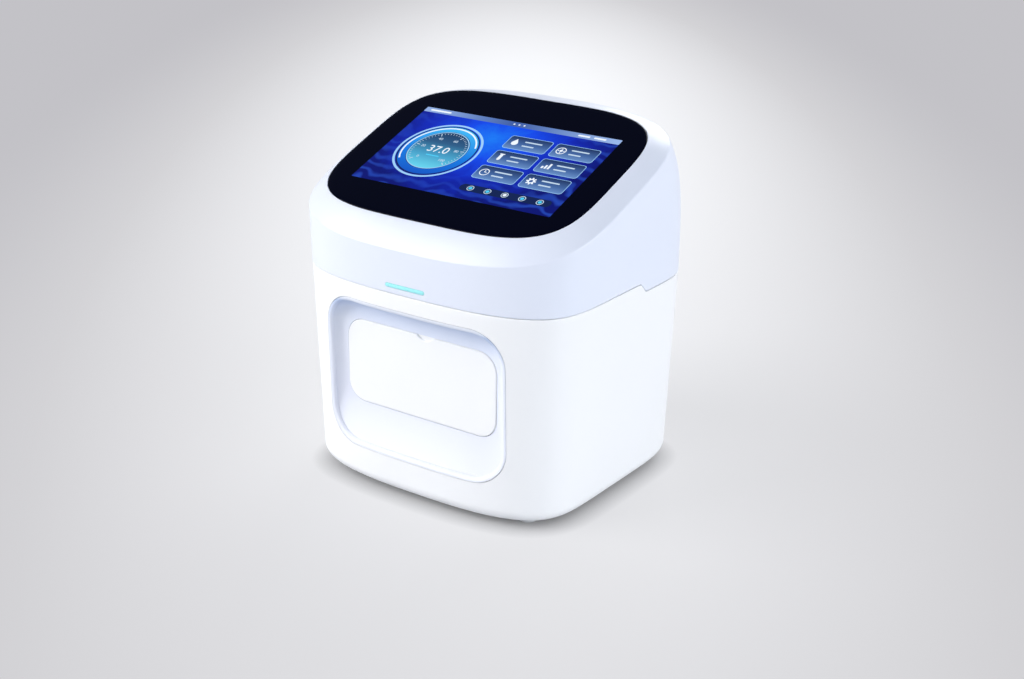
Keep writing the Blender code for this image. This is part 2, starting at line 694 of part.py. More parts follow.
def crease_ring(inset=0.0, drop=CREASE_DROP):
    """Edge between the lid's wall and its bevelled rim."""
    return display_ring(CREASE_HALF_WIDTH - inset, CREASE_HALF_DEPTH - inset,
                        CREASE_POWER_X, CREASE_POWER_Y, -CREASE_SHIFT, drop)


def glass_ring(inset=0.0, drop=0.0):
    """Outline of the glass, or of its seat."""
    return display_ring(GLASS_HALF_WIDTH - inset, GLASS_HALF_DEPTH - inset,
                        GLASS_POWER, GLASS_POWER, 0.0, drop)


def lid_ring(rise_share, inset=0.0, drop=CREASE_DROP):
    """Lid wall part way up: it flares early in front and leans in late behind."""
    foot = housing_outline(LID_BASE, inset)
    crest = crease_ring(inset, drop)
    back = (1 + foot[:, 1] / HOUSING_HALF_DEPTH) / 2
    power = FRONT_FLARE_POWER ** (1 - back) * REAR_LEAN_POWER ** back
    share = np.clip(rise_share, WELD, 1) ** power
    ring = foot + (crest - foot) * share[:, None]
    ring[:, 2] = foot[:, 2] + (crest[:, 2] - foot[:, 2]) * rise_share
    return ring


def rim_ring(share):
    """Bevelled rim part way from the crease to the glass, slightly crowned."""
    ring = crease_ring() + (glass_ring(-FIT) - crease_ring()) * share
    return ring + np.array(DISPLAY_UP) * RIM_CROWN * math.sin(math.pi * share)


def step_cutter(name, level, side):
    """Space above (side 1) or below (side -1) the seam, with its ramp and its lower rear run."""
    far = side * (HOUSING_HEIGHT + DISPLAY_RISE)
    front, back = -HOUSING_HALF_DEPTH - OVERCUT, HOUSING_HALF_DEPTH + OVERCUT
    ramp_end = SEAM_RAMP_START + SEAM_STEP
    shoulders = [(front, level), (SEAM_RAMP_START, level), (ramp_end, level - SEAM_STEP),
                 (back, level - SEAM_STEP)]
    outline = shoulders + [(back, level + far), (front, level + far)]
    reach = CREASE_HALF_WIDTH + OVERCUT
    return prism(name, [outline], PLANE_YZ, -reach, reach)


def lower_housing():
    """Drafted tub with a rounded bottom edge, an inward flange and two openings."""
    rings = [housing_outline(SEAM + OVERCUT)]
    inner = [housing_outline(SEAM + OVERCUT, HOUSING_WALL)]
    start = BODY_BASE + BOTTOM_ROUND
    for step in range(BOTTOM_STEPS + 1):
        turn = math.pi / 2 * step / BOTTOM_STEPS
        fall, tuck = math.sin(turn), 1 - math.cos(turn)
        ring = housing_outline(start, BOTTOM_ROUND * tuck)
        ring[:, 2] = start - BOTTOM_ROUND * fall
        rings.append(ring)
        small = BOTTOM_ROUND - HOUSING_WALL
        ring = housing_outline(start, HOUSING_WALL + small * tuck)
        ring[:, 2] = start - small * fall
        inner.append(ring)
    for level, group in ((BODY_BASE, rings), (BODY_BASE + HOUSING_WALL, inner)):
        ring = housing_outline(start, BOTTOM_FLANGE)
        ring[:, 2] = level
        group.append(ring)
    shell = loft("lower_housing", rings + inner[::-1], WHITE_SHELL, ends="loop")
    front = round_rectangle(RECESS_HALF_WIDTH, RECESS_HEIGHT / 2, RECESS_CORNER)
    front_cut = prism("recess_cutter", [front + (0, RECESS_MIDDLE)], PLANE_XZ,
                      RECESS_DEPTH, HOUSING_HALF_DEPTH + OVERCUT)
    rear = round_rectangle(REAR_HALF_WIDTH, REAR_HEIGHT / 2, REAR_CORNER)
    rear_cut = prism("rear_cutter", [rear + (0, REAR_MIDDLE)], PLANE_XZ,
                     -HOUSING_HALF_DEPTH - OVERCUT, -RECESS_DEPTH)
    return cut(shell, step_cutter("housing_seam_cutter", SEAM, 1), front_cut, rear_cut,
               swing_cutter())


def hinge_axis():
    """Point on the lid's hinge axis, one hinge radius inside the rear face and above the seam."""
    rear = housing_reach(0.0, LID_BASE)
    return Vector((0, float(rear) - HINGE_RADIUS, LID_BASE + HINGE_RADIUS))


def swing_cutter():
    """Round space about the hinge axis that the lid's lower rear edge sweeps as it opens."""
    axis = hinge_axis()
    rings = []
    for x in np.linspace(-HOUSING_HALF_WIDTH, HOUSING_HALF_WIDTH, SWING_STATIONS):
        lead = max(float(housing_reach(x, LID_BASE)) - axis.y, 0)
        radius = math.hypot(lead, HINGE_RADIUS) + SWING_CLEARANCE
        ring = circle((axis.y, axis.z), radius, OUTLINE_POINTS)
        rings.append([(x, y, z) for y, z in ring])
    return loft("swing_cutter", rings)


def upper_housing():
    """Lid moulding: wall, crease, bevelled rim and the ledge under the glass, as one skin."""
    outer = [lid_ring(share) for share in LID_RISE_SHARES] + [rim_ring(s) for s in RIM_SHARES]
    seat = GLASS_THICKNESS + FIT
    ledge = [glass_ring(-FIT, seat), glass_ring(LEDGE_WIDTH, seat),
             glass_ring(LEDGE_WIDTH, seat + LEDGE_THICKNESS),
             glass_ring(-LID_WALL / 2, seat + LEDGE_THICKNESS + FIT)]
    inner_drop = CREASE_DROP + LID_WALL
    inner = [lid_ring(share, LID_WALL, inner_drop) for share in LID_INNER_SHARES]
    shell = loft("upper_housing", outer + ledge + inner, PALE_SHELL, ends="loop")
    slot = prism("status_slot_cutter", [light_outline(FIT)], PLANE_XZ,
                 HOUSING_HALF_DEPTH - LID_WALL - OVERCUT, HOUSING_HALF_DEPTH + OVERCUT)
    return cut(shell, step_cutter("lid_seam_cutter", SEAM + SEAM_GAP, -1), slot)


def light_outline(grow=0.0):
    """Outline of the status light on the lid's front, with round ends."""
    half = LIGHT_HEIGHT / 2 + grow
    points = round_rectangle(LIGHT_WIDTH / 2 + grow, half, half, 4, 2)
    return points + (0, SEAM + LIGHT_RISE)


def lid_front(height):
    """Depth of the lid's front face at the middle, at a height."""
    foot = -HOUSING_HALF_DEPTH + END_DRAFT_SHARE * (SEAM - LID_BASE)
    crest = crease_ring()
    lead = crest[np.argmin(crest[:, 1])]
    share = (height - LID_BASE) / (lead[2] - LID_BASE)
    return foot + (lead[1] - foot) * share ** FRONT_FLARE_POWER


def status_light():
    """Light pipe that fills the slot in the lid's front."""
    face = lid_front(SEAM + LIGHT_RISE) - LIGHT_PROUD
    return prism("status_light", [light_outline()], PLANE_XZ, -face - LIGHT_DEPTH, -face,
                 LIGHT_PIPE)


def on_display(low, high):
    """Heights below the glass face turned into two levels of the display plane."""
    return -high, -low


def touch_glass():
    """Black glass with the outline of the lid's seat."""
    outline = round_outline(GLASS_HALF_WIDTH, GLASS_HALF_DEPTH, GLASS_POWER, GLASS_POWER)
    low, high = on_display(0, GLASS_THICKNESS)
    return prism("touch_glass", [outline.tolist()], DISPLAY_PLANE, low, high, BLACK_GLASS)


def display_block(name, half_x, half_y, top, thickness, finish=None):
    """Box parallel to the glass, its top a given drop below the glass face."""
    low, high = on_display(top, top + thickness)
    return block(name, (-half_x, -half_y, low), (half_x, half_y, high), finish, pose=DISPLAY_PLANE)


def display_parts():
    """Display, its folded bracket and the board behind it, each seated on the one above."""
    half_x, half_y = LCD_HALF_WIDTH, LCD_HALF_DEPTH
    top = GLASS_THICKNESS + FIT
    lcd = display_block("lcd_module", half_x, half_y, top, LCD_THICKNESS, DARK_PLASTIC)
    top += LCD_THICKNESS + FIT
    half_x, half_y = half_x - BRACKET_MARGIN, half_y - BRACKET_MARGIN
    bracket = display_block("display_bracket", half_x, half_y, top,
                            BRACKET_THICKNESS + BRACKET_FLANGE, SHEET_STEEL)
    top += BRACKET_THICKNESS
    cut(bracket, display_block("bracket_cutter", half_x - BRACKET_THICKNESS,
                               half_y - BRACKET_THICKNESS, top, BRACKET_FLANGE + OVERCUT))
    top += FIT
    half_x, half_y = DISPLAY_BOARD_WIDTH / 2, DISPLAY_BOARD_DEPTH / 2
    board = display_block("display_board", half_x, half_y, top, BOARD_THICKNESS, CIRCUIT_BOARD)
    low, high = on_display(top + BOARD_THICKNESS - FIT, top + BOARD_THICKNESS + CHIP_HEIGHT)
    for side in (-1, 1):
        start = side * half_x / 2 - CHIP_WIDTH / 2
        chip = block("display_chip_tool", (start, -CHIP_WIDTH / 2, low),
                     (start + CHIP_WIDTH, CHIP_WIDTH / 2, high), pose=DISPLAY_PLANE)
        join(board, chip)
    return [lcd, bracket, board]


def lid_section(height, inset):
    """Outline of the lid's inner wall at one height, with an inset."""
    drop = CREASE_DROP + LID_WALL
    levels = np.array([lid_ring(share, inset, drop) for share in LID_INNER_SHARES[::-1]])
    points = []
    for column in range(levels.shape[1]):
        line = levels[:, column]
        points.append((float(np.interp(height, line[:, 2], line[:, 0])),
                       float(np.interp(height, line[:, 2], line[:, 1]))))
    return points


def lid_liner():
    """Flat liner that closes the lid below."""
    outline = lid_section(LINER_BASE, LID_WALL + FIT)
    return prism("lid_liner", [outline], PLANE_XY, LINER_BASE, LINER_BASE + LINER_THICKNESS,
                 WHITE_SHELL)


def speaker():
    """Small round speaker on the liner."""
    profile = [(0, SPEAKER_HEIGHT), (SPEAKER_RADIUS, SPEAKER_HEIGHT), (SPEAKER_RADIUS, 0), (0, 0)]
    spot = (HOUSING_HALF_WIDTH - SPEAKER_INSET, SPEAKER_BACK - HOUSING_HALF_DEPTH,
            LINER_BASE + LINER_THICKNESS + FIT)
    return turned("speaker", profile, spot, DARK_PLASTIC, steps=EYE_SIDES)


def hull(points):
    """Convex outline round a set of flat points, run anticlockwise."""
    points = sorted(set(points))
    chains = []
    for ordered in (points, points[::-1]):
        chain = []
        for spot in ordered:
            while len(chain) > 1:
                (ax, ay), (bx, by) = chain[-2], chain[-1]
                if (bx - ax) * (spot[1] - ay) - (by - ay) * (spot[0] - ax) > 0:
                    break
                chain.pop()
            chain.append(spot)
        chains += chain[:-1]
    return chains


def hinge_bracket(name, side):
    """Base side of a hinge: a foot on the frame and an arm that ends in an eye round the pin."""
    axis = hinge_axis()
    front, back = axis.y - HINGE_REACH, axis.y - HINGE_SETBACK
    shoulder = axis.z - HINGE_RADIUS
    elbow = [(axis.y - HINGE_RADIUS - 3 * FIT, shoulder), (front + HINGE_EYE_RADIUS, shoulder)]
    eye = hull(circle((axis.y, axis.z), HINGE_EYE_RADIUS) + elbow)
    start = eye.index(elbow[1])
    arm = [(front, OPTICS_BASE + FIT), (back, OPTICS_BASE + FIT)] + eye[start + 1:] + eye[:start + 1]
    bore = circle((axis.y, axis.z), HINGE_PIN_RADIUS + RUNNING_FIT, 16)
    middle = side * HINGE_SPACING / 2
    bracket = prism(name, [arm, bore], PLANE_YZ, middle - HINGE_PLATE / 2,
                    middle + HINGE_PLATE / 2, BARE_STEEL)
    foot = block(name + "_foot_tool",
                 (middle - HINGE_FOOT_WIDTH / 2, back - HINGE_FOOT_LENGTH, OPTICS_BASE),
                 (middle + HINGE_FOOT_WIDTH / 2, back + FIT, OPTICS_BASE + HINGE_FOOT_THICKNESS))
    return join(bracket, foot)


def lid_hinge(name, side):
    """Lid side of a hinge: a flange under the liner and a knuckle beside the bracket's eye."""
    axis = hinge_axis()
    top = LINER_BASE - FIT
    front = axis.y - HINGE_FOOT_LENGTH
    web = hull(circle((axis.y, axis.z), HINGE_EYE_RADIUS)
               + [(axis.y + HINGE_EYE_RADIUS / 2, top - FIT), (front + FIT, top - FIT),
                  (front + FIT, top - HINGE_FOOT_THICKNESS)])
    bore = circle((axis.y, axis.z), HINGE_PIN_RADIUS + RUNNING_FIT, 16)
    inner = side * (HINGE_SPACING / 2 + HINGE_PLATE / 2 + FIT)
    low, high = sorted((inner, inner + side * HINGE_PLATE))
    leaf = prism(name, [web, bore], PLANE_YZ, low, high, BARE_STEEL)
    low, high = sorted((inner + side * FIT, inner + side * HINGE_FOOT_WIDTH))
    flange = block(name + "_flange_tool", (low, front, top - HINGE_FOOT_THICKNESS),
                   (high, axis.y + HINGE_EYE_RADIUS / 3, top))
    return join(leaf, flange)


def hinge_pin(name, side):
    """Pin through the bracket's eye and the lid's knuckle."""
    axis = hinge_axis()
    inner = side * (HINGE_SPACING / 2 - HINGE_PLATE)
    outer = side * (HINGE_SPACING / 2 + 2 * HINGE_PLATE)
    return rod(name, (inner, axis.y, axis.z), (outer, axis.y, axis.z), HINGE_PIN_RADIUS, BARE_STEEL)


def recess_ring(inset, depth, behind=0.0):
    """Recess outline drawn in by an inset, at a depth behind the housing's front or inner face."""
    flat = round_rectangle(RECESS_HALF_WIDTH - FIT - inset, RECESS_HEIGHT / 2 - FIT - inset,
                           RECESS_CORNER - inset)
    x, z = flat[:, 0], flat[:, 1] + RECESS_MIDDLE
    return np.stack((x, depth - housing_reach(x, z, behind), z), axis=1)


def opening_ring(grow, y):
    """Outline of the drawer opening at the recess floor."""
    flat = round_rectangle(PANEL_HALF_WIDTH + PANEL_GAP + grow, PANEL_HEIGHT / 2 + PANEL_GAP + grow,
                           PANEL_CORNER + PANEL_GAP + grow)
    return np.stack((flat[:, 0], np.full(len(flat), y), flat[:, 1] + PANEL_MIDDLE), axis=1)


def scoop_ring(share, back=0.0):
    """Recess wall part way to its floor: steep under the top edge, a ramp below the opening."""
    rim = recess_ring(RECESS_LIP - back, RECESS_LIP + back)
    floor = opening_ring(back, RECESS_FLOOR + back)
    height = (rim[:, 2] - RECESS_MIDDLE) / (RECESS_HEIGHT / 2)
    up = (1 + np.clip(height, -1, 1)) / 2
    power = RECESS_RAMP_POWER ** (1 - up) * RECESS_TOP_POWER ** up
    ring = rim + (floor - rim) * share
    ring[:, 1] = rim[:, 1] + (floor[:, 1] - rim[:, 1]) * (1 - (1 - share) ** power)
    return ring


def front_bezel():
    """Recess moulding: rolled lip, scoop with its ramp, drawer opening, flange behind the wall."""
    turns = [math.pi / 2 * step / LIP_STEPS for step in range(LIP_STEPS + 1)]
    front = [recess_ring(RECESS_LIP * math.sin(t), RECESS_LIP * (1 - math.cos(t))) for t in turns]
    front += [scoop_ring(share) for share in SCOOP_SHARES]
    sleeve = RECESS_FLOOR + BEZEL_WALL + BEZEL_SLEEVE
    front += [opening_ring(0, sleeve), opening_ring(BEZEL_WALL, sleeve)]
    back = [scoop_ring(share, BEZEL_WALL) for share in SCOOP_SHARES[::-2]]
    wall = HOUSING_WALL + 2 * FIT
    back += [recess_ring(0, BEZEL_WALL, wall), recess_ring(-BEZEL_FLANGE, BEZEL_WALL, wall),
             recess_ring(-BEZEL_FLANGE, 0, wall), recess_ring(0, 0, wall)]
    return loft("front_bezel", front + back, BEZEL_SHELL, ends="loop")


def drawer_front():
    """Flat rounded panel with an eased front edge and a finger notch in its top edge."""
    rings = []
    for tuck, y in ((0, PANEL_BACK), (0, PANEL_FACE + PANEL_EDGE),
                    (PANEL_EDGE / 3, PANEL_FACE + PANEL_EDGE / 3), (PANEL_EDGE, PANEL_FACE)):
        flat = round_rectangle(PANEL_HALF_WIDTH - tuck, PANEL_HEIGHT / 2 - tuck, PANEL_CORNER - tuck)
        rings.append(np.stack((flat[:, 0], np.full(len(flat), y), flat[:, 1] + PANEL_MIDDLE), axis=1))
    panel = loft("drawer_front", rings, WHITE_SHELL)
    radius = (NOTCH_HALF_WIDTH ** 2 + NOTCH_DEPTH ** 2) / (2 * NOTCH_DEPTH)
    height = PANEL_TOP + radius - NOTCH_DEPTH
    scallop = rod("notch_cutter", (NOTCH_SHIFT, PANEL_FACE - OVERCUT, height),
                  (NOTCH_SHIFT, PANEL_FACE + PANEL_THICKNESS / 2, height), radius, sides=ROUND_STEPS)
    return cut(panel, scallop)


def drawer_tray():
    """Tray with a low wall round it, a taller front behind the panel and a spindle hole."""
    tray = block("drawer_tray", (-TRAY_HALF_WIDTH, TRAY_FRONT + FIT, TRAY_BASE),
                 (TRAY_HALF_WIDTH, TRAY_REAR, TRAY_TOP), NATURAL_PLASTIC)
    half_x = TRAY_HALF_WIDTH - TRAY_RIB_INSET
    front, back = TRAY_FRONT + 2 * FIT, TRAY_REAR - FIT
    outer = [(-half_x, front), (half_x, front), (half_x, back), (-half_x, back)]
    rib = TRAY_RIB_WIDTH
    inner = [(-half_x + rib, front + rib), (half_x - rib, front + rib),
             (half_x - rib, back - rib), (-half_x + rib, back - rib)]
    wall = prism("tray_wall_tool", [outer, inner], PLANE_XY, TRAY_TOP - FIT,
                 TRAY_TOP + TRAY_RIB_HEIGHT)
    half_x -= rib / 2
    upstand = block("tray_upstand_tool", (-half_x, TRAY_FRONT, TRAY_TOP - 2 * FIT),
                    (half_x, TRAY_FRONT + 2 * rib, TRAY_TOP + TRAY_FRONT_HEIGHT))
    hole = rod("tray_hub_cutter", (0, SPIN_Y, TRAY_BASE - OVERCUT), (0, SPIN_Y, TRAY_TOP + OVERCUT),
               TRAY_HUB_RADIUS)
    return cut(join(tray, wall, upstand), hole)


def drawer_rail(name, side):
    """Plastic rail on the frame's side with a groove for the tray's edge."""
    wall = FRAME_HALF_WIDTH - FRAME_SHEET - FIT
    groove = TRAY_HALF_WIDTH + FIT
    lip = TRAY_HALF_WIDTH - RAIL_LIP
    low, high = TRAY_BASE - FIT, TRAY_TOP + FIT
    outline = [(wall, low - RAIL_LIP_THICKNESS), (wall, high + RAIL_LIP_THICKNESS),
               (lip, high + RAIL_LIP_THICKNESS), (lip, high), (groove, high), (groove, low),
               (lip, low), (lip, low - RAIL_LIP_THICKNESS)]
    outline = [(side * x, z) for x, z in outline]
    return prism(name, [outline], PLANE_XZ, -TRAY_REAR, -FRAME_FRONT, NATURAL_PLASTIC)


def rack_outline():
    """Rack with trapezoid teeth pointing down, one tooth space over the pinion's top tooth."""
    half_pitch, slant = TOOTH_PITCH / 4, math.tan(PRESSURE_ANGLE)
    start = TRAY_FRONT + RACK_LEAD
    first = math.ceil((start - PINION_Y) / TOOTH_PITCH)
    top, tip = TRAY_BASE - FIT, RACK_PITCH_LINE - TIP_DEPTH
    root = RACK_PITCH_LINE + ROOT_DEPTH
    points = []
    for number in range(RACK_TEETH):
        centre = PINION_Y + (first + number + 0.5) * TOOTH_PITCH
        wide = half_pitch + ROOT_DEPTH * slant - MESH_BACKLASH
        narrow = half_pitch - TIP_DEPTH * slant - MESH_BACKLASH
        points += [(centre - wide, root), (centre - narrow, tip), (centre + narrow, tip),
                   (centre + wide, root)]
    front, back = points[0][0] - half_pitch, points[-1][0] + half_pitch
    return [(front, top), (front, root)] + points + [(back, root), (back, top)]


def drawer_rack():
    """Rack under the tray's right side."""
    return prism("drawer_rack", [rack_outline()], PLANE_YZ, RACK_X - RACK_HALF_WIDTH,
                 RACK_X + RACK_HALF_WIDTH, NATURAL_PLASTIC)


def pinion_outline():
    """Involute-like gear outline with a tooth straight up, drawn about its own centre."""
    points = []
    half_angle = math.pi / (2 * PINION_TEETH) - MESH_BACKLASH / PITCH_RADIUS
    lean = math.tan(PRESSURE_ANGLE) / PITCH_RADIUS
    stations = (PITCH_RADIUS - ROOT_DEPTH, PITCH_RADIUS, PITCH_RADIUS + TIP_DEPTH)
    for tooth in range(PINION_TEETH):
        middle = math.pi / 2 + math.tau * tooth / PINION_TEETH
        flank = [(radius, half_angle - (radius - PITCH_RADIUS) * lean) for radius in stations]
        for radius, spread in flank:
            points.append((radius * math.cos(middle - spread), radius * math.sin(middle - spread)))
        for radius, spread in flank[::-1]:
            points.append((radius * math.cos(middle + spread), radius * math.sin(middle + spread)))
    return points


def drawer_pinion():
    """Pinion under the rack, on its own short shaft stub to the gear motor."""
    pose = Matrix.Translation((0, PINION_Y, PINION_Z)) @ PLANE_YZ
    gear = prism("drawer_pinion", [pinion_outline()], pose, RACK_X - PINION_WIDTH / 2,
                 RACK_X + PINION_WIDTH / 2, NATURAL_PLASTIC)
    motor_face = FRAME_HALF_WIDTH + FIT + GEAR_SHAFT_RADIUS
    stub = rod("pinion_shaft_tool", (RACK_X, PINION_Y, PINION_Z), (motor_face - FIT, PINION_Y, PINION_Z),
               GEAR_SHAFT_RADIUS, sides=16)
    return join(gear, stub)


def drawer_motor():
    """Round gear motor outside the frame's right side, with a boss round the pinion's shaft."""
    start = FRAME_HALF_WIDTH + FIT
    boss = start + GEAR_SHAFT_RADIUS
    motor = rod("drawer_motor", (start, PINION_Y, PINION_Z),
                (start + GEAR_MOTOR_LENGTH, PINION_Y, PINION_Z), GEAR_MOTOR_RADIUS, SHEET_STEEL, 32)
    bore = rod("motor_bore_cutter", (start - OVERCUT, PINION_Y, PINION_Z), (boss, PINION_Y, PINION_Z),
               GEAR_SHAFT_RADIUS + RUNNING_FIT, sides=16)
    return cut(motor, bore)


def turntable():
    """Disc with a raised rim, four ribs that part its pockets, a hub and the spindle below."""
    half = TURNTABLE_THICKNESS
    rim, top = TURNTABLE_RADIUS - TURNTABLE_RIM_WIDTH, TURNTABLE_RIM_HEIGHT
    stub = TURNTABLE_LIFT + TRAY_THICKNESS
    profile = [(0, TURNTABLE_HUB_HEIGHT), (TURNTABLE_HUB_RADIUS, TURNTABLE_HUB_HEIGHT),
               (TURNTABLE_HUB_RADIUS, half), (rim, half), (rim, top), (TURNTABLE_RADIUS, top),
               (TURNTABLE_RADIUS, 0), (SPINDLE_RADIUS, 0), (SPINDLE_RADIUS, -stub), (0, -stub)]
    disc = turned("turntable", profile, (0, SPIN_Y, TURNTABLE_BASE), NATURAL_PLASTIC)
    inner, outer = TURNTABLE_HUB_RADIUS - TURNTABLE_RIB_WIDTH, rim + TURNTABLE_RIM_WIDTH / 2
    for number in range(TURNTABLE_RIBS):
        turn = Matrix.Rotation(math.tau * (number + 0.5) / TURNTABLE_RIBS, 4, "Z")
        pose = Matrix.Translation((0, SPIN_Y, TURNTABLE_BASE)) @ turn
        rib = block("turntable_rib_tool", (inner, -TURNTABLE_RIB_WIDTH / 2, half - FIT),
                    (outer, TURNTABLE_RIB_WIDTH / 2, TURNTABLE_RIB_HEIGHT), pose=pose)
        join(disc, rib)
    return disc


def turntable_knob():
    """Fluted knob that clamps what lies on the turntable."""
    base = TURNTABLE_BASE + TURNTABLE_HUB_HEIGHT + FIT
    profile = [(0, KNOB_HEIGHT), (KNOB_RADIUS - KNOB_FLUTE_RADIUS, KNOB_HEIGHT),
               (KNOB_RADIUS, KNOB_HEIGHT - KNOB_FLUTE_RADIUS), (KNOB_RADIUS, 0), (0, 0)]
    knob = turned("turntable_knob", profile, (0, SPIN_Y, base), DARK_PLASTIC, steps=24)
    for number in range(KNOB_FLUTES):
        turn = math.tau * number / KNOB_FLUTES
        x = KNOB_RADIUS * math.cos(turn)
        y = SPIN_Y + KNOB_RADIUS * math.sin(turn)
        cut(knob, rod("flute_cutter", (x, y, base - OVERCUT), (x, y, base + KNOB_HEIGHT + OVERCUT),
                      KNOB_FLUTE_RADIUS, sides=8))
    return knob


def spindle_motor():
    """Flat motor under the tray, with a bore for the spindle."""
    top = TRAY_BASE - FIT
    motor = rod("spindle_motor", (0, SPIN_Y, top - SPINDLE_MOTOR_HEIGHT), (0, SPIN_Y, top),
                SPINDLE_MOTOR_RADIUS, BARE_STEEL, 32)
    return motor


def base_plate():
    """Steel floor on the housing's flange, with vent slots and board standoffs."""
    flat = housing_outline(BODY_BASE + BOTTOM_ROUND, HOUSING_WALL + BASE_PLATE_INSET, INNER_POINTS)
    slots = []
    for number in range(VENT_COUNT):
        x = (number - (VENT_COUNT - 1) / 2) * VENT_PITCH
        slot = round_rectangle(VENT_WIDTH / 2, VENT_LENGTH / 2, VENT_WIDTH / 2, 2, 1)
        slots.append((slot + (x, MAIN_BOARD_Y)).tolist())
    plate = prism("base_plate", [flat[:, :2].tolist()] + slots, PLANE_XY, BASE_PLATE_BOTTOM,
                  BASE_PLATE_TOP, SHEET_STEEL)
    x = MAIN_BOARD_WIDTH / 2 - 2 * STANDOFF_RADIUS
    y = MAIN_BOARD_DEPTH / 2 - 2 * STANDOFF_RADIUS
    for sx in (-1, 1):
        for sy in (-1, 1):
            spot = Vector((sx * x, MAIN_BOARD_Y + sy * y, BASE_PLATE_TOP - FIT))
            post = rod("standoff_tool", spot, spot + Vector((0, 0, MAIN_BOARD_RISE)),
                       STANDOFF_RADIUS, sides=12)
            join(plate, post)
    return plate


def foot(name, sx, sy):
    """Chamfered rubber foot under the housing's flange."""
    profile = [(0, FOOT_HEIGHT), (FOOT_RADIUS, FOOT_HEIGHT), (FOOT_RADIUS, FOOT_CHAMFER),
               (FOOT_RADIUS - FOOT_CHAMFER, 0), (0, 0)]
    spot = (sx * (HOUSING_HALF_WIDTH - FOOT_SIDE_INSET), sy * (HOUSING_HALF_DEPTH - FOOT_END_INSET), 0)
    return turned(name, profile, spot, RUBBER, steps=EYE_SIDES)


def inner_frame():
    """Bent sheet frame over the drawer: deck, two sides with windows, outward feet."""
    outer, inner = FRAME_HALF_WIDTH, FRAME_HALF_WIDTH - FRAME_SHEET
    toe, base = FRAME_HALF_WIDTH + FRAME_FLANGE, FRAME_FLANGE_BOTTOM
    half = [(toe, base), (toe, base + FRAME_SHEET), (outer, base + FRAME_SHEET),
            (outer, FRAME_DECK_TOP)]
    inside = [(inner, FRAME_DECK_UNDER), (inner, base)]
    outline = half + [(-x, z) for x, z in half[::-1]]
    outline += [(-x, z) for x, z in inside[::-1]] + inside
    frame = prism("inner_frame", [outline], PLANE_XZ, -FRAME_BACK, -FRAME_FRONT, SHEET_STEEL)
    window = round_rectangle(FRAME_WINDOW_LENGTH / 2, FRAME_WINDOW_HEIGHT / 2, VENT_WIDTH, 3, 1)
    window = window + ((FRAME_FRONT + FRAME_BACK) / 2, (TRAY_TOP + FRAME_DECK_UNDER) / 2)
    tools = [prism("side_window_cutter", [window.tolist()], PLANE_YZ, -toe, toe)]
    tools.append(rod("shaft_hole_cutter", (RACK_X, PINION_Y, PINION_Z), (toe, PINION_Y, PINION_Z),
                     SHAFT_HOLE_RADIUS, sides=16))
    tools.append(rod("barrel_hole_cutter", (0, OPTICS_Y, FRAME_DECK_UNDER - OVERCUT),
                     (0, OPTICS_Y, FRAME_DECK_TOP + OVERCUT), BARREL_RADIUS + HEATER_EDGE))
    return cut(frame, *tools)


def deck_outline(height):
    """Housing's inside at a height, drawn further in towards the front, behind the bezel."""
    near = housing_outline(height, HOUSING_WALL + FIT, INNER_POINTS)[:, :2]
    inside = housing_outline(height, DECK_FRONT_INSET, INNER_POINTS)[:, :2]
    ahead = np.clip(DECK_FRONT_SHARES[0] - near[:, 1] / HOUSING_HALF_DEPTH, 0, DECK_FRONT_SHARES[1])
    blend = (ahead / DECK_FRONT_SHARES[1])[:, None]
    return (near + (inside - near) * blend).tolist()


def inner_deck():
    """Moulded deck in the housing's top: window over the optics, hinge cut-out, four posts."""
    base = DECK_TOP - DECK_THICKNESS
    notch = hinge_axis().y - HINGE_REACH - 3 * FIT
    front = OPTICS_Y - PHOTOMETER_DEPTH / 2 - DECK_WINDOW_MARGIN
    back = notch - DECK_BRIDGE
    window = round_rectangle(PHOTOMETER_WIDTH / 2 + DECK_WINDOW_MARGIN, (back - front) / 2,
                             DECK_WINDOW_CORNER) + (0, (front + back) / 2)
    deck = prism("inner_deck", [deck_outline(base), window.tolist()], PLANE_XY, base, DECK_TOP,
                 WHITE_SHELL)
    post_x = FRAME_HALF_WIDTH - DECK_POST_INSET
    for x in (-post_x, post_x):
        for y in (FRAME_FRONT + DECK_POST_FRONT, FRAME_BACK - DECK_POST_REAR):
            join(deck, rod("deck_post_tool", (x, y, OPTICS_BASE), (x, y, base + FIT),
                           DECK_POST_RADIUS, sides=12))
    reach = (HINGE_SPACING + HINGE_FOOT_WIDTH) / 2
    return cut(deck, block("hinge_cutter", (-reach, notch, base - OVERCUT),
                           (reach, HOUSING_HALF_DEPTH + OVERCUT, DECK_TOP + OVERCUT)))


def photometer_block():
    """Optics housing on the frame's deck, with a lens barrel down through it."""
    half_x, half_y = PHOTOMETER_WIDTH / 2, PHOTOMETER_DEPTH / 2
    body = block("photometer_block", (-half_x, OPTICS_Y - half_y, OPTICS_BASE),
                 (half_x, OPTICS_Y + half_y, OPTICS_BASE + PHOTOMETER_HEIGHT), ALUMINIUM)
    barrel = rod("barrel_tool", (0, OPTICS_Y, HEATER_BASE - BARREL_BELOW),
                 (0, OPTICS_Y, OPTICS_BASE + FIT), BARREL_RADIUS)
    return join(body, barrel)


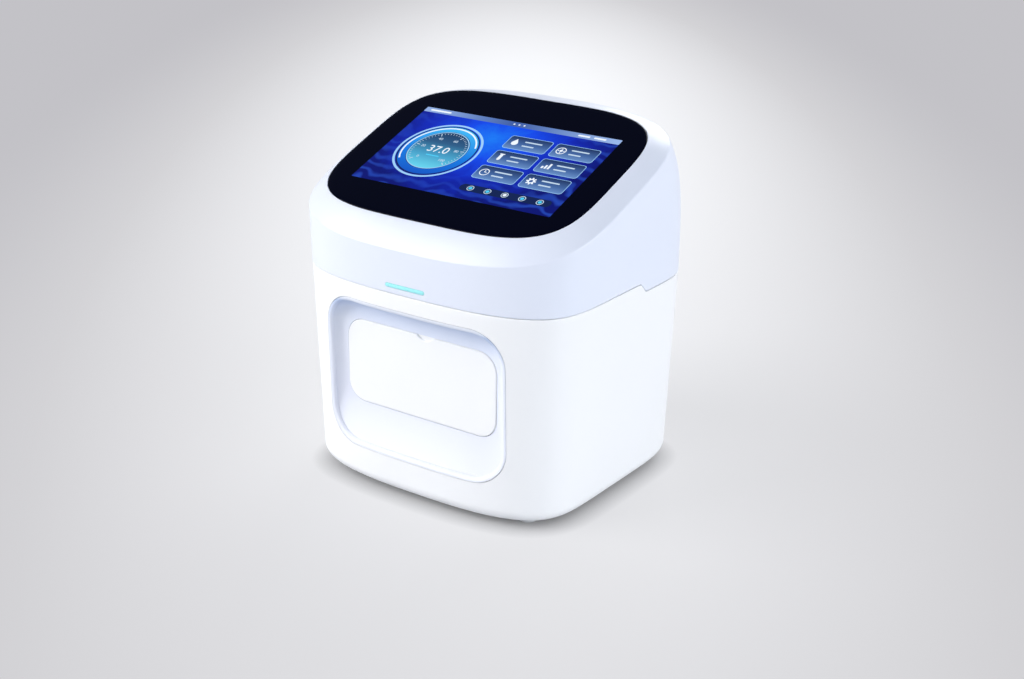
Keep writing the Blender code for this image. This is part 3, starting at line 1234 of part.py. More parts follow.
def lamp_housing():
    """Finned lamp housing that lies on the frame's deck beside the optics."""
    radius = LAMP_RADIUS
    start = PHOTOMETER_WIDTH / 2 + FIT
    profile = [(0, LAMP_LENGTH), (radius, LAMP_LENGTH)]
    gap = LAMP_LENGTH / (LAMP_FINS + 1)
    for number in range(LAMP_FINS, 0, -1):
        level = number * gap
        high, low = level + LAMP_FIN_THICKNESS / 2, level - LAMP_FIN_THICKNESS / 2
        profile += [(radius, high), (LAMP_FIN_RADIUS, high), (LAMP_FIN_RADIUS, low), (radius, low)]
    profile += [(radius, 0), (0, 0)]
    spot = Vector((start, OPTICS_Y, OPTICS_BASE + LAMP_FIN_RADIUS))
    pose = Matrix.Translation(spot) @ Matrix.Rotation(math.pi / 2, 4, "Y")
    return turned("lamp_housing", profile, (0, 0, 0), ALUMINIUM, steps=14, pose=pose)


def detector_board():
    """Small board with its sensor can on top of the optics."""
    base = OPTICS_BASE + PHOTOMETER_HEIGHT + FIT
    half_x, half_y = DETECTOR_WIDTH / 2, DETECTOR_DEPTH / 2
    board = block("detector_board", (-half_x, OPTICS_Y - half_y, base),
                  (half_x, OPTICS_Y + half_y, base + BOARD_THICKNESS), CIRCUIT_BOARD)
    can = rod("sensor_can_tool", (0, OPTICS_Y, base + BOARD_THICKNESS - FIT),
              (0, OPTICS_Y, base + BOARD_THICKNESS + CHIP_HEIGHT), STANDOFF_RADIUS, sides=16)
    return join(board, can)


def heater_plate():
    """Heated ring over the turntable, hung from the frame's deck on three posts."""
    outer = circle((0, SPIN_Y), HEATER_OUTER_RADIUS, ROUND_STEPS)
    inner = circle((0, SPIN_Y), HEATER_INNER_RADIUS, EYE_SIDES)
    ring = prism("heater_plate", [outer, inner], PLANE_XY, HEATER_BASE, HEATER_TOP, ALUMINIUM)
    reach = (HEATER_OUTER_RADIUS + HEATER_INNER_RADIUS) / 2
    for number in range(HEATER_POSTS):
        turn = -math.pi / 2 + math.tau * number / HEATER_POSTS
        x, y = reach * math.cos(turn), SPIN_Y + reach * math.sin(turn)
        join(ring, rod("heater_post_tool", (x, y, HEATER_TOP - FIT), (x, y, FRAME_DECK_UNDER - FIT),
                       HEATER_POST_RADIUS, sides=12))
    return cut(ring, rod("heater_cutter", (0, OPTICS_Y, HEATER_BASE - OVERCUT),
                         (0, OPTICS_Y, HEATER_TOP + OVERCUT), BARREL_RADIUS + HEATER_EDGE))


def main_board():
    """Control board on its standoffs, with a finned heat sink and two connectors."""
    base = BASE_PLATE_TOP + MAIN_BOARD_RISE
    half_x, half_y = MAIN_BOARD_WIDTH / 2, MAIN_BOARD_DEPTH / 2
    board = block("main_board", (-half_x, MAIN_BOARD_Y - half_y, base),
                  (half_x, MAIN_BOARD_Y + half_y, base + BOARD_THICKNESS), CIRCUIT_BOARD)
    level = base + BOARD_THICKNESS - FIT
    half = HEAT_SINK_WIDTH / 2
    middle = Vector((-MAIN_BOARD_WIDTH / 4, MAIN_BOARD_Y, level))
    fin = HEAT_SINK_WIDTH / (2 * HEAT_SINK_FINS - 1)
    comb = [(-half, 0), (half, 0)]
    for number in range(HEAT_SINK_FINS):
        right = half - 2 * number * fin
        comb += [(right, HEAT_SINK_HEIGHT), (right - fin, HEAT_SINK_HEIGHT)]
        if number < HEAT_SINK_FINS - 1:
            comb += [(right - fin, CHIP_HEIGHT), (right - 2 * fin, CHIP_HEIGHT)]
    comb = [(middle.x + x, middle.z + z) for x, z in comb]
    join(board, prism("heat_sink_tool", [comb], PLANE_XZ, -middle.y - half, -middle.y + half))
    for side in (-1, 1):
        y = MAIN_BOARD_Y + side * MAIN_BOARD_DEPTH / 3
        edge = MAIN_BOARD_WIDTH / 2 - CONNECTOR_HEIGHT
        join(board, block("connector_tool", (edge - CONNECTOR_WIDTH, y - CONNECTOR_HEIGHT / 2, level),
                          (edge, y + CONNECTOR_HEIGHT / 2, level + CONNECTOR_HEIGHT)))
    return board


def power_supply():
    """Closed power supply behind the control board."""
    base = BASE_PLATE_TOP + FIT
    return block("power_supply", (SUPPLY_LEFT, SUPPLY_FRONT, base),
                 (SUPPLY_LEFT + SUPPLY_WIDTH, SUPPLY_REAR, base + SUPPLY_HEIGHT), SHEET_STEEL,
                 SUPPLY_EDGE)


def rear_ring(inset, depth, flat_y=None, behind=0.0):
    """Rear recess outline drawn in by an inset, following the bowed wall or at one depth."""
    flat = round_rectangle(REAR_HALF_WIDTH - FIT - inset, REAR_HEIGHT / 2 - FIT - inset,
                           REAR_CORNER - inset, 3, 4)
    x, z = flat[:, 0], flat[:, 1] + REAR_MIDDLE
    y = np.full(len(x), flat_y) if flat_y is not None else housing_reach(x, z, behind) - depth
    return np.stack((x, y, z), axis=1)


def rear_panel():
    """Dished connector panel in the housing's rear, with its cut-outs and fan grille."""
    wall = HOUSING_WALL + 2 * FIT
    edge = -BEZEL_FLANGE / 2
    rings = [rear_ring(REAR_INSET, 0, REAR_FLOOR), rear_ring(REAR_LIP, REAR_LIP),
             rear_ring(REAR_LIP / 3, REAR_LIP / 3), rear_ring(0, 0), rear_ring(0, 0, None, wall),
             rear_ring(edge, 0, None, wall), rear_ring(edge, BEZEL_WALL, None, wall),
             rear_ring(REAR_INSET - BEZEL_WALL, 0, REAR_BACK)]
    panel = loft("rear_panel", rings, GREY_PLASTIC)
    low, high = -REAR_FLOOR - OVERCUT, -REAR_FLOOR + BEZEL_WALL + OVERCUT
    for name, x, z, width, height in rear_openings():
        outline = round_rectangle(width / 2 + FIT, height / 2 + FIT, 2 * FIT, 2, 1) + (x, z)
        cut(panel, prism(name + "_cutter", [outline.tolist()], PLANE_XZ, low, high))
    pitch = 2 * FAN_BORE_RADIUS / GRILLE_SLOTS
    for number in range(GRILLE_SLOTS):
        level = (number + 0.5) * pitch - FAN_BORE_RADIUS
        half = math.sqrt(FAN_BORE_RADIUS ** 2 - level ** 2)
        slot = pitch * (1 - GRILLE_BAR_SHARE) / 2
        outline = round_rectangle(half, slot, slot * (1 - GRILLE_BAR_SHARE), 2, 1)
        outline = outline + (FAN_X, REAR_MIDDLE + level)
        cut(panel, prism("grille_slot_cutter", [outline.tolist()], PLANE_XZ, low, high))
    return panel


def rear_openings():
    """Name, centre and size of each cut-out in the rear panel."""
    return [("inlet_opening", INLET_X, LOW_ROW, INLET_WIDTH, INLET_HEIGHT),
            ("switch_opening", SWITCH_X, LOW_ROW, SWITCH_WIDTH, SWITCH_HEIGHT),
            ("usb_left_opening", PORT_LEFT_X, HIGH_ROW, PORT_WIDTH, PORT_HEIGHT),
            ("usb_right_opening", PORT_RIGHT_X, HIGH_ROW, PORT_WIDTH, PORT_HEIGHT),
            ("network_opening", NETWORK_X, HIGH_ROW, NETWORK_WIDTH, NETWORK_HEIGHT)]


def rear_spot(name):
    """Centre of a named cut-out in the rear panel."""
    for label, x, z, _, _ in rear_openings():
        if label == name:
            return x, z
    raise KeyError(name)


def fan_frame():
    """Square fan frame with a round bore and four spokes to the motor seat."""
    front, back = FAN_FRONT, FAN_FRONT + FAN_DEPTH
    half = FAN_SIZE / 2
    square = round_rectangle(half, half, FAN_SPOKE_WIDTH, 3, 1) + (FAN_X, REAR_MIDDLE)
    bore = circle((FAN_X, REAR_MIDDLE), FAN_BORE_RADIUS, ROUND_STEPS)
    frame = prism("fan_frame", [square.tolist(), bore], PLANE_XZ, -back, -front, DARK_PLASTIC)
    reach = FAN_BORE_RADIUS + FAN_SPOKE_WIDTH / 3
    seat_front, seat_back = front, front + FAN_SPOKE_DEPTH
    for turn in (math.pi / 4, -math.pi / 4):
        pose = Matrix.Translation((FAN_X, 0, REAR_MIDDLE)) @ Matrix.Rotation(turn, 4, "Y")
        join(frame, block("fan_spoke_tool", (-reach, seat_front, -FAN_SPOKE_WIDTH / 2),
                          (reach, seat_back, FAN_SPOKE_WIDTH / 2), pose=pose))
    seat = rod("fan_seat_tool", (FAN_X, seat_front, REAR_MIDDLE), (FAN_X, seat_back, REAR_MIDDLE),
               FAN_HUB_RADIUS)
    return join(frame, seat)


def fan_blade(number):
    """Twisted blade: a thin section that turns flatter from the hub to the tip."""
    depth = FAN_DEPTH - FAN_SPOKE_DEPTH - 4 * FIT
    root = FAN_HUB_RADIUS - FAN_BLADE_THICKNESS
    rings = []
    for share in FAN_BLADE_SHARES:
        radius = root + (FAN_BLADE_RADIUS - root) * share
        pitch = FAN_ROOT_PITCH - FAN_TWIST * share
        chord = depth * (FAN_CHORD_SHARE + FAN_CHORD_GAIN * share) / math.sin(FAN_ROOT_PITCH)
        half, thin = chord / 2, FAN_BLADE_THICKNESS / 2
        section = []
        for along, out in ((-half, 0), (-half / 2, thin), (half / 2, thin), (half, 0),
                           (half / 2, -thin), (-half / 2, -thin)):
            side = along * math.cos(pitch) - out * math.sin(pitch)
            fore = along * math.sin(pitch) + out * math.cos(pitch)
            section.append((radius, fore, side))
        rings.append(section)
    turn = Matrix.Rotation(math.tau * number / FAN_BLADES, 4, "Y")
    return loft("fan_blade_tool", rings, pose=Matrix.Translation(fan_centre()) @ turn)


def fan_centre():
    """Middle of the fan rotor, between the spokes and the panel."""
    front, back = FAN_FRONT + FAN_SPOKE_DEPTH, FAN_FRONT + FAN_DEPTH
    return Vector((FAN_X, (front + back) / 2, REAR_MIDDLE))


def fan_rotor():
    """Hub with twisted blades."""
    centre = fan_centre()
    half = (FAN_DEPTH - FAN_SPOKE_DEPTH) / 2 - 2 * FIT
    hub = rod("fan_rotor", centre - Vector((0, half, 0)), centre + Vector((0, half, 0)),
              FAN_HUB_RADIUS, DARK_PLASTIC)
    for number in range(FAN_BLADES):
        join(hub, fan_blade(number))
    return hub


def socket_loft(name, opening, outline, sections, finish):
    """Fitting in the rear panel, lofted through sections of growth and depth, capped both ends."""
    x, z = rear_spot(opening)
    width, height, corner = outline
    rings = []
    for grow, y in sections:
        flat = round_rectangle(width / 2 + grow, height / 2 + grow, max(corner + grow, PORT_WALL), 2, 1)
        rings.append(np.stack((flat[:, 0] + x, np.full(len(flat), y), flat[:, 1] + z), axis=1))
    return loft(name, rings, finish)


def mains_inlet():
    """Appliance inlet: flange on the panel, socket cavity and three flat pins."""
    x, z = rear_spot("inlet_opening")
    seat, face = REAR_FLOOR + FIT, REAR_FLOOR + FIT + INLET_LIP
    depth = INLET_DEPTH * INLET_SOCKET_SHARE
    wall = INLET_HEIGHT * (1 - INLET_SOCKET_SHARE) / 2
    sections = [(0, REAR_FLOOR - INLET_DEPTH), (0, seat), (INLET_FLANGE, seat),
                (INLET_FLANGE, face - INLET_LIP / 3), (INLET_FLANGE - INLET_LIP / 3, face),
                (-wall, face), (-wall, REAR_FLOOR - depth)]
    body = socket_loft("mains_inlet", "inlet_opening", (INLET_WIDTH, INLET_HEIGHT, INLET_FLANGE),
                       sections, DARK_PLASTIC)
    drops = ((-BLADE_PITCH, -BLADE_WIDTH), (0, BLADE_WIDTH), (BLADE_PITCH, -BLADE_WIDTH))
    for across, up in drops:
        spot = Vector((x + across, REAR_FLOOR, z + up))
        blade = Vector((BLADE_WIDTH / 2, depth + INLET_LIP / 2, BLADE_HEIGHT / 2))
        tip = Vector((BLADE_WIDTH / 2, -INLET_LIP, BLADE_HEIGHT / 2))
        join(body, block("blade_tool", spot - blade, spot + tip))
    return body


def switch_frame():
    """Rocker switch frame with a pocket open to the rear and two pivot holes."""
    seat, face = REAR_FLOOR + FIT, REAR_FLOOR + FIT + SWITCH_WALL
    bottom = REAR_FLOOR - SWITCH_DEPTH
    sections = [(0, bottom), (0, seat), (SWITCH_WALL, seat), (SWITCH_WALL, face - SWITCH_WALL / 3),
                (SWITCH_WALL * 2 / 3, face), (-SWITCH_WALL, face), (-SWITCH_WALL, bottom + SWITCH_WALL)]
    body = socket_loft("switch_frame", "switch_opening", (SWITCH_WIDTH, SWITCH_HEIGHT, SWITCH_WALL),
                       sections, DARK_PLASTIC)
    axis = rocker_axis()
    reach = Vector((SWITCH_WIDTH / 2 - SWITCH_WALL / 3, 0, 0))
    return cut(body, rod("pivot_hole_cutter", axis - reach, axis + reach,
                         PIVOT_RADIUS + RUNNING_FIT, sides=16))


def rocker_axis():
    """Middle of the rocker's pivot."""
    x, z = rear_spot("switch_opening")
    return Vector((x, REAR_FLOOR - SWITCH_WALL, z))


def power_switch():
    """Rocker with two dished halves, resting with its upper half pressed, on two pivot stubs."""
    axis = rocker_axis()
    half_x = SWITCH_WIDTH / 2 - SWITCH_WALL - SWITCH_GAP
    half_z = SWITCH_HEIGHT / 2 - SWITCH_WALL - 2 * SWITCH_GAP
    crest, valley = ROCKER_DEPTH / 2 + ROCKER_DISH, ROCKER_DEPTH / 2
    foot = half_z * ROCKER_FOOT_SHARE
    side = [(-ROCKER_DEPTH / 2, -foot), (-ROCKER_DEPTH / 2, foot), (valley / 2, half_z),
            (crest, half_z), (valley, half_z / 2), (valley, 0), (valley, -half_z / 2),
            (crest, -half_z), (valley / 2, -half_z)]
    pose = Matrix.Translation(axis) @ Matrix.Rotation(ROCKER_TILT, 4, "X") @ PLANE_YZ
    rocker = prism("power_switch", [side], pose, -half_x, half_x, DARK_PLASTIC)
    reach = SWITCH_WIDTH / 2 - SWITCH_WALL + SWITCH_WALL / 3
    stub = rod("pivot_tool", axis - Vector((reach, 0, 0)), axis + Vector((reach, 0, 0)), PIVOT_RADIUS,
               sides=16)
    return join(rocker, stub)


def data_port(name, opening, width, height):
    """Socket shell in the panel, with a tongue inside."""
    x, z = rear_spot(opening)
    bottom = REAR_FLOOR - PORT_DEPTH
    sections = [(0, bottom), (0, REAR_FLOOR + PORT_WALL), (-PORT_WALL, REAR_FLOOR + PORT_WALL),
                (-PORT_WALL, bottom + PORT_WALL)]
    shell = socket_loft(name, opening, (width, height, 2 * PORT_WALL), sections, BARE_STEEL)
    tongue = block(name + "_tongue_tool", (x - width / 4, bottom + PORT_WALL / 2, z),
                   (x + width / 4, REAR_FLOOR - PORT_WALL, z + PORT_TONGUE))
    return join(shell, tongue)


def build_base():
    """Everything that stays still."""
    lower_housing()
    front_bezel()
    rear_panel()
    base_plate()
    for end, sy in (("front", -1), ("rear", 1)):
        foot(f"foot_{end}_left", -1, sy)
        foot(f"foot_{end}_right", 1, sy)
    inner_frame()
    inner_deck()
    drawer_rail("drawer_rail_left", -1)
    drawer_rail("drawer_rail_right", 1)
    drawer_motor()
    photometer_block()
    lamp_housing()
    detector_board()
    heater_plate()
    main_board()
    power_supply()
    fan_frame()
    mains_inlet()
    switch_frame()
    data_port("usb_port_left", "usb_left_opening", PORT_WIDTH, PORT_HEIGHT)
    data_port("usb_port_right", "usb_right_opening", PORT_WIDTH, PORT_HEIGHT)
    data_port("network_port", "network_opening", NETWORK_WIDTH, NETWORK_HEIGHT)
    hinge_bracket("hinge_bracket_left", -1)
    hinge_bracket("hinge_bracket_right", 1)


def build_lid():
    """The display lid on its hinge."""
    pieces = [upper_housing(), touch_glass(), status_light(), lid_liner(), speaker()]
    pieces += display_parts()
    for label, side in (("left", -1), ("right", 1)):
        pieces.append(lid_hinge(f"lid_hinge_{label}", side))
        pieces.append(hinge_pin(f"hinge_pin_{label}", side))
    carry(pivot("lid_axis", hinge_axis()), *pieces)


def build_drawer():
    """The drawer with its turntable, and the pinion that drives it."""
    tray = [drawer_front(), drawer_tray(), drawer_rack(), spindle_motor()]
    carry(pivot("drawer_slide", (0, PANEL_FACE, PANEL_MIDDLE)), *tray)
    spin = pivot("turntable_axis", (0, SPIN_Y, TURNTABLE_BASE))
    carry(spin, turntable(), turntable_knob())
    carry(pivot("pinion_axis", (RACK_X, PINION_Y, PINION_Z)), drawer_pinion())


def build_rear_moving():
    """The fan's rotor and the rocker."""
    carry(pivot("fan_axis", fan_centre()), fan_rotor())
    carry(pivot("switch_axis", rocker_axis()), power_switch())


build_base()
build_lid()
build_drawer()
build_rear_moving()
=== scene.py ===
"""Finish of a benchtop analyzer: moulded shells, lit screen, drawer, rear fittings and inner parts.

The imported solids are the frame. Shells that show are made again here as fine surfaces from the
same sizes; smaller parts are added where such an instrument has them.
"""
import json
import math

import bmesh
import bpy
import numpy as np
from mathutils import Matrix, Vector
from mathutils.bvhtree import BVHTree


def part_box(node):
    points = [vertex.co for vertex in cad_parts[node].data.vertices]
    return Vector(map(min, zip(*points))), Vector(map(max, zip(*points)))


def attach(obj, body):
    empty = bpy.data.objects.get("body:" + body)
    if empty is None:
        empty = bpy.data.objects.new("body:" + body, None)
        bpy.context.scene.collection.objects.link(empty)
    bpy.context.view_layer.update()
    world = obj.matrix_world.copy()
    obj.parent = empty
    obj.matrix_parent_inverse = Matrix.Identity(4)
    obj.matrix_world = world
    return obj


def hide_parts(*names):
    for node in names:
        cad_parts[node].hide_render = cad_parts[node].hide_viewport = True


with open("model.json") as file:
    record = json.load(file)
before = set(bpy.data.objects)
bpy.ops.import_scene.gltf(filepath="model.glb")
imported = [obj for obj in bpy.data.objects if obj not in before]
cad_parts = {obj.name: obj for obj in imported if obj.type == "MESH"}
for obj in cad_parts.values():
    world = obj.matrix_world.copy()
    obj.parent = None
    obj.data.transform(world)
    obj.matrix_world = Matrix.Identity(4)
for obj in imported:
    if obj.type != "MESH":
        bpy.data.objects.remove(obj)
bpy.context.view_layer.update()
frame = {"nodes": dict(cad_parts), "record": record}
NODES = frame["nodes"]

# Sizes shared with the solids, in metres
FIT = 0.0003
SEAM = 0.1410
SEAM_STEP = 0.0065
SEAM_RAMP_START = 0.0125
SEAM_GAP = 0.0004
BODY_BASE = 0.0030
HOUSING_HEIGHT = 0.1380
LID_BASE = SEAM - SEAM_STEP + SEAM_GAP
BODY_HALF = np.array((0.103, 0.0955))
BODY_POWERS = (2.8, 6.0)
DRAFT = np.array((0.030, 0.027))
HALF_DEPTH = BODY_HALF[1]
WALL = 0.0025
BOTTOM_ROUND = 0.010
BOTTOM_FLANGE = 0.040
LIP = 0.0005

SLOPE = math.radians(21.0)
CREASE_OVERHANG = 0.0055
CREASE_AHEAD, CREASE_BACK = 0.0012, 0.0223
CREASE_HALF = np.array((BODY_HALF[0] + CREASE_OVERHANG,
                        (HALF_DEPTH + (CREASE_AHEAD - CREASE_BACK) / 2) / math.cos(SLOPE)))
CREASE_POWERS = (2.8, 4.0)
CREASE_DROP = 0.0088
CREASE_SHIFT = 0.0010
GLASS_HALF = CREASE_HALF - (0.0117, 0.0189)
GLASS_POWERS = (4.0, 4.0)
GLASS_THICKNESS = 0.0018
GLASS_EASE = 0.0006
GLASS_FLAT = 0.020
RIM_CROWN = 0.0006
FRONT_FLARE_POWER = 0.6
REAR_LEAN_POWER = 5.0
LEDGE_WIDTH = 0.0042
LEDGE_THICKNESS = 0.0018
DISPLAY_BACK = ((CREASE_BACK + CREASE_AHEAD) / 2 + CREASE_DROP * math.sin(SLOPE)
                - CREASE_SHIFT * math.cos(SLOPE))
DISPLAY_CENTRE = np.array((0.0, -DISPLAY_BACK, SEAM + 0.0703))
DISPLAY_UP = np.array((0.0, -math.sin(SLOPE), math.cos(SLOPE)))
DISPLAY_POSE = Matrix.Translation(DISPLAY_CENTRE) @ Matrix.Rotation(SLOPE, 4, "X")

RECESS_TOP, RECESS_FOOT = 0.0105, 0.0247
RECESS_HALF = np.array((BODY_HALF[0] - 0.0325, (HOUSING_HEIGHT - RECESS_TOP - RECESS_FOOT) / 2))
RECESS_MIDDLE = SEAM - RECESS_TOP - RECESS_HALF[1]
RECESS_CORNER = 0.024
RECESS_LIP = 0.0032
RECESS_FLOOR = 0.0145 - HALF_DEPTH
RAMP_POWER = 1.25
TOP_POWER = 5.0
BEZEL_WALL = 0.0018
BEZEL_FLANGE = 0.0045
BEZEL_SLEEVE = 0.0025
PANEL_INSET = (0.0117, (0.0188 + 0.0282) / 2)
PANEL_HALF = RECESS_HALF - PANEL_INSET
PANEL_TOP = SEAM - RECESS_TOP - 0.0188
PANEL_MIDDLE = PANEL_TOP - PANEL_HALF[1]
PANEL_CORNER = 0.0130
PANEL_GAP = 0.0006
PANEL_FACE = RECESS_FLOOR - 0.0006
PANEL_THICKNESS = 0.0032
PANEL_EDGE = 0.0009
PANEL_BACK_EASE = 0.0004
PANEL_FLAT = 0.012
PANEL_GROWTH = 0.0003
NOTCH_HALF = 0.0065
NOTCH_DEPTH = 0.0030
NOTCH_X = 0.0040

REAR_HALF = np.array((0.0582, 0.0380))
REAR_MIDDLE = 0.0590
REAR_CORNER = 0.0100
HINGE_RADIUS = 0.0090
SWING_CLEARANCE = 0.00025
LIGHT_HALF = np.array((0.0150, 0.00115))
LIGHT_HEIGHT = SEAM + 0.0055

# Fineness of the surfaces
ROUND = 560
CORNER_STEPS = 18
EDGE_STEPS = 26
SHADE_ANGLE = 35.0
LIP_ROWS = 5
WALL_ROWS, INNER_WALL_ROWS = 44, 14
FOOT_ROWS, INNER_FOOT_ROWS = 15, 8
LID_ROWS, BEND_ROWS, RIM_ROWS = 46, 13, 16
LID_END, RIM_START, RIM_END = 0.982, 0.075, 0.97
SCOOP_ROWS, SCOOP_BACK_ROWS = 30, 12
EASE_ROWS = 7


# Meshes: every surface is a grid of points, one row after another

def shaded(mesh, angle=SHADE_ANGLE):
    """Mesh with smooth faces, and sharp edges over an angle in degrees."""
    mesh.shade_smooth()
    mesh.set_sharp_from_angle(angle=math.radians(angle))
    return mesh


def shown(name, mesh, *materials):
    """Object at the origin with a mesh and its materials."""
    for material in materials:
        mesh.materials.append(material)
    thing = bpy.data.objects.new(name, mesh)
    bpy.context.scene.collection.objects.link(thing)
    return thing


def mesh_of(name, points, faces):
    """Mesh from world points and faces."""
    mesh = bpy.data.meshes.new(name)
    mesh.from_pydata(points, [], faces)
    mesh.validate()
    return mesh


def skin(name, rings, material, ends="cap", pose=None):
    """Surface through closed rings of equal count, moved by a pose, its faces turned outwards.

    "loop" joins the last ring to the first, "cap" closes both with one face, and "pole" closes
    both with a fan to the middle of the ring.
    """
    rings = np.asarray(rings, dtype=float)
    if pose is not None:
        rings = posed(rings, pose)
    rows, columns = rings.shape[:2]
    points = rings.reshape(-1, 3)
    row = np.arange(rows if ends == "loop" else rows - 1)[:, None] * columns
    column = np.arange(columns)[None, :]
    after_row, after = (row + columns) % (rows * columns), (column + 1) % columns
    quads = np.stack((row + column, row + after, after_row + after, after_row + column), axis=-1)
    faces = quads.reshape(-1, 4).tolist()
    last = (rows - 1) * columns
    if ends == "cap":
        faces.append(list(range(columns))[::-1])
        faces.append(list(range(last, rows * columns)))
    if ends == "pole":
        points = np.concatenate((points, [rings[0].mean(axis=0)], [rings[-1].mean(axis=0)]))
        for column in range(columns):
            after = (column + 1) % columns
            faces.append((rows * columns, after, column))
            faces.append((rows * columns + 1, last + column, last + after))
    mesh = mesh_of(name, points.tolist(), faces)
    work = bmesh.new()
    work.from_mesh(mesh)
    bmesh.ops.recalc_face_normals(work, faces=work.faces[:])
    if work.calc_volume(signed=True) < 0:
        bmesh.ops.reverse_faces(work, faces=work.faces[:])
    work.to_mesh(mesh)
    work.free()
    return shown(name, shaded(mesh), material)


def take_out(thing, *tools):
    """Cut closed tools out of a piece and delete them."""
    for tool in tools:
        cutting = thing.modifiers.new("cut", "BOOLEAN")
        cutting.operation = "DIFFERENCE"
        cutting.solver = "EXACT"
        cutting.object = tool
        fresh = evaluated_mesh(thing)
        thing.modifiers.clear()
        thing.data = fresh
        bpy.data.objects.remove(tool)
    shaded(thing.data)
    return thing


def evaluated_mesh(thing):
    """Mesh of an object or curve as its modifiers and settings leave it."""
    bpy.context.view_layer.update()
    ready = thing.evaluated_get(bpy.context.evaluated_depsgraph_get())
    return bpy.data.meshes.new_from_object(ready)


def grouped(name, parts, body):
    """One piece out of several, each with its own material, that rides on a body."""
    mesh = bpy.data.meshes.new(name)
    work = bmesh.new()
    materials = list(dict.fromkeys(part.data.materials[0] for part in parts))
    for part in parts:
        start = len(work.faces)
        work.from_mesh(part.data)
        work.faces.ensure_lookup_table()
        for face in work.faces[start:]:
            face.material_index = materials.index(part.data.materials[0])
        bpy.data.meshes.remove(part.data)
    work.to_mesh(mesh)
    work.free()
    piece = shown(name, mesh, *materials)
    shaded(mesh)
    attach(piece, body)


# Outlines

def squircle(half, powers, count=ROUND):
    """|x/a|^p + |y/b|^q = 1, stepped evenly in a mix of arc length and turning."""
    angle = np.linspace(0, math.tau, 8 * 1440 + 1)
    cosine, sine = np.cos(angle), np.sin(angle)
    x = half[0] * np.sign(cosine) * np.abs(cosine) ** (2 / powers[0])
    y = half[1] * np.sign(sine) * np.abs(sine) ** (2 / powers[1])
    run = np.hypot(np.diff(x), np.diff(y))
    heading = np.unwrap(np.arctan2(np.diff(y), np.diff(x)))
    bend = np.abs(np.diff(heading, append=heading[0] + math.tau))
    pace = run / run.sum() + 0.5 * bend / bend.sum()
    reach = np.concatenate(([0.0], np.cumsum(pace)))
    stops = np.linspace(0, reach[-1], count, endpoint=False)
    return np.stack((np.interp(stops, reach, x), np.interp(stops, reach, y)), axis=1)


def round_rectangle(half, corner, corner_steps=CORNER_STEPS, edge_steps=EDGE_STEPS):
    """Rounded rectangle with equal counts on every corner and every edge."""
    quarter = np.repeat(np.arange(4), corner_steps + edge_steps)
    step = np.tile(np.arange(corner_steps + edge_steps), 4)
    signs = np.array(((1, 1), (-1, 1), (-1, -1), (1, -1)))
    middle = signs * (half[0] - corner, half[1] - corner)
    turn = math.pi / 2 * (quarter + np.minimum(step, corner_steps) / corner_steps)
    on_arc = middle[quarter] + corner * directions(turn)
    far = middle[(quarter + 1) % 4] + corner * directions(math.pi / 2 * (quarter + 1))
    share = np.clip(step - corner_steps, 0, None)[:, None] / edge_steps
    return on_arc + (far - on_arc) * share


def directions(turn):
    """Unit vectors at angles."""
    return np.stack((np.cos(turn), np.sin(turn)), axis=-1)


def ring_of(radius, count=48, centre=(0.0, 0.0)):
    """Circle of a radius about a centre."""
    return centre + radius * directions(math.tau * np.arange(count) / count)


def quarter_round(radius, count):
    """Inset and drop along a quarter circle, from the side's end to the top's."""
    return [(radius * (1 - math.cos(turn)), radius * (1 - math.sin(turn)))
            for turn in np.linspace(0, math.pi / 2, count)]


def spread(count, pitch):
    """Places a pitch apart, about zero."""
    return (np.arange(count) - (count - 1) / 2) * pitch


def unit(vectors):
    """Rows at length one."""
    return vectors / np.linalg.norm(vectors, axis=1)[:, None]


def lift(flat, height):
    """Flat outline set at a height, or at one height for each point."""
    return np.column_stack((flat, np.broadcast_to(height, len(flat))))


def upright(flat, y, middle=0.0):
    """Outline stood up at a depth, or at one depth for each point, about a middle height."""
    return np.column_stack((flat[:, 0], np.broadcast_to(y, len(flat)), flat[:, 1] + middle))


def posed(points, pose):
    """Points moved by a matrix."""
    matrix = np.array(pose)
    return np.asarray(points) @ matrix[:3, :3].T + matrix[:3, 3]


def seam_level(y):
    """Height of the housing's top edge: level in front, a short ramp, then lower behind."""
    return SEAM - SEAM_STEP * np.clip((y - SEAM_RAMP_START) / SEAM_STEP, 0, 1)


UNIT_WALL = squircle(BODY_HALF, BODY_POWERS) / BODY_HALF


def wall_section(height, inset=0.0, level=None):
    """Housing section at a height, or at one height for each point, drawn in by an inset.

    It can be set at another level than the height whose width it has.
    """
    height = np.broadcast_to(height, len(UNIT_WALL))
    half = BODY_HALF - DRAFT * (SEAM - height)[:, None] - inset
    return lift(UNIT_WALL * half, height if level is None else level)


def wall_reach(x, z, inset=0.0):
    """How far the front or rear face stands from the middle at x and z."""
    width, depth = (BODY_HALF[axis] - DRAFT[axis] * (SEAM - z) - inset for axis in (0, 1))
    share = 1 - np.abs(x / width) ** BODY_POWERS[0]
    return depth * np.clip(share, 0, 1) ** (1 / BODY_POWERS[1])


def sloped(flat, drop):
    """Flat outline in the display's plane, a drop below its face."""
    centre = DISPLAY_CENTRE - drop * DISPLAY_UP
    return np.column_stack((flat[:, 0], centre[1] + flat[:, 1] * math.cos(SLOPE),
                            centre[2] + flat[:, 1] * math.sin(SLOPE)))


def crease_ring(inset=0.0, drop=CREASE_DROP):
    """Edge between the lid's wall and its bevelled rim."""
    return sloped(squircle(CREASE_HALF - inset, CREASE_POWERS) - (0, CREASE_SHIFT), drop)


def glass_ring(inset=0.0, drop=0.0):
    """Outline of the glass, or of its seat."""
    return sloped(squircle(GLASS_HALF - inset, GLASS_POWERS), drop)


# Shells

HINGE_Y = float(wall_reach(0.0, LID_BASE)) - HINGE_RADIUS
HINGE_Z = LID_BASE + HINGE_RADIUS
TOOL_REACH = 0.01


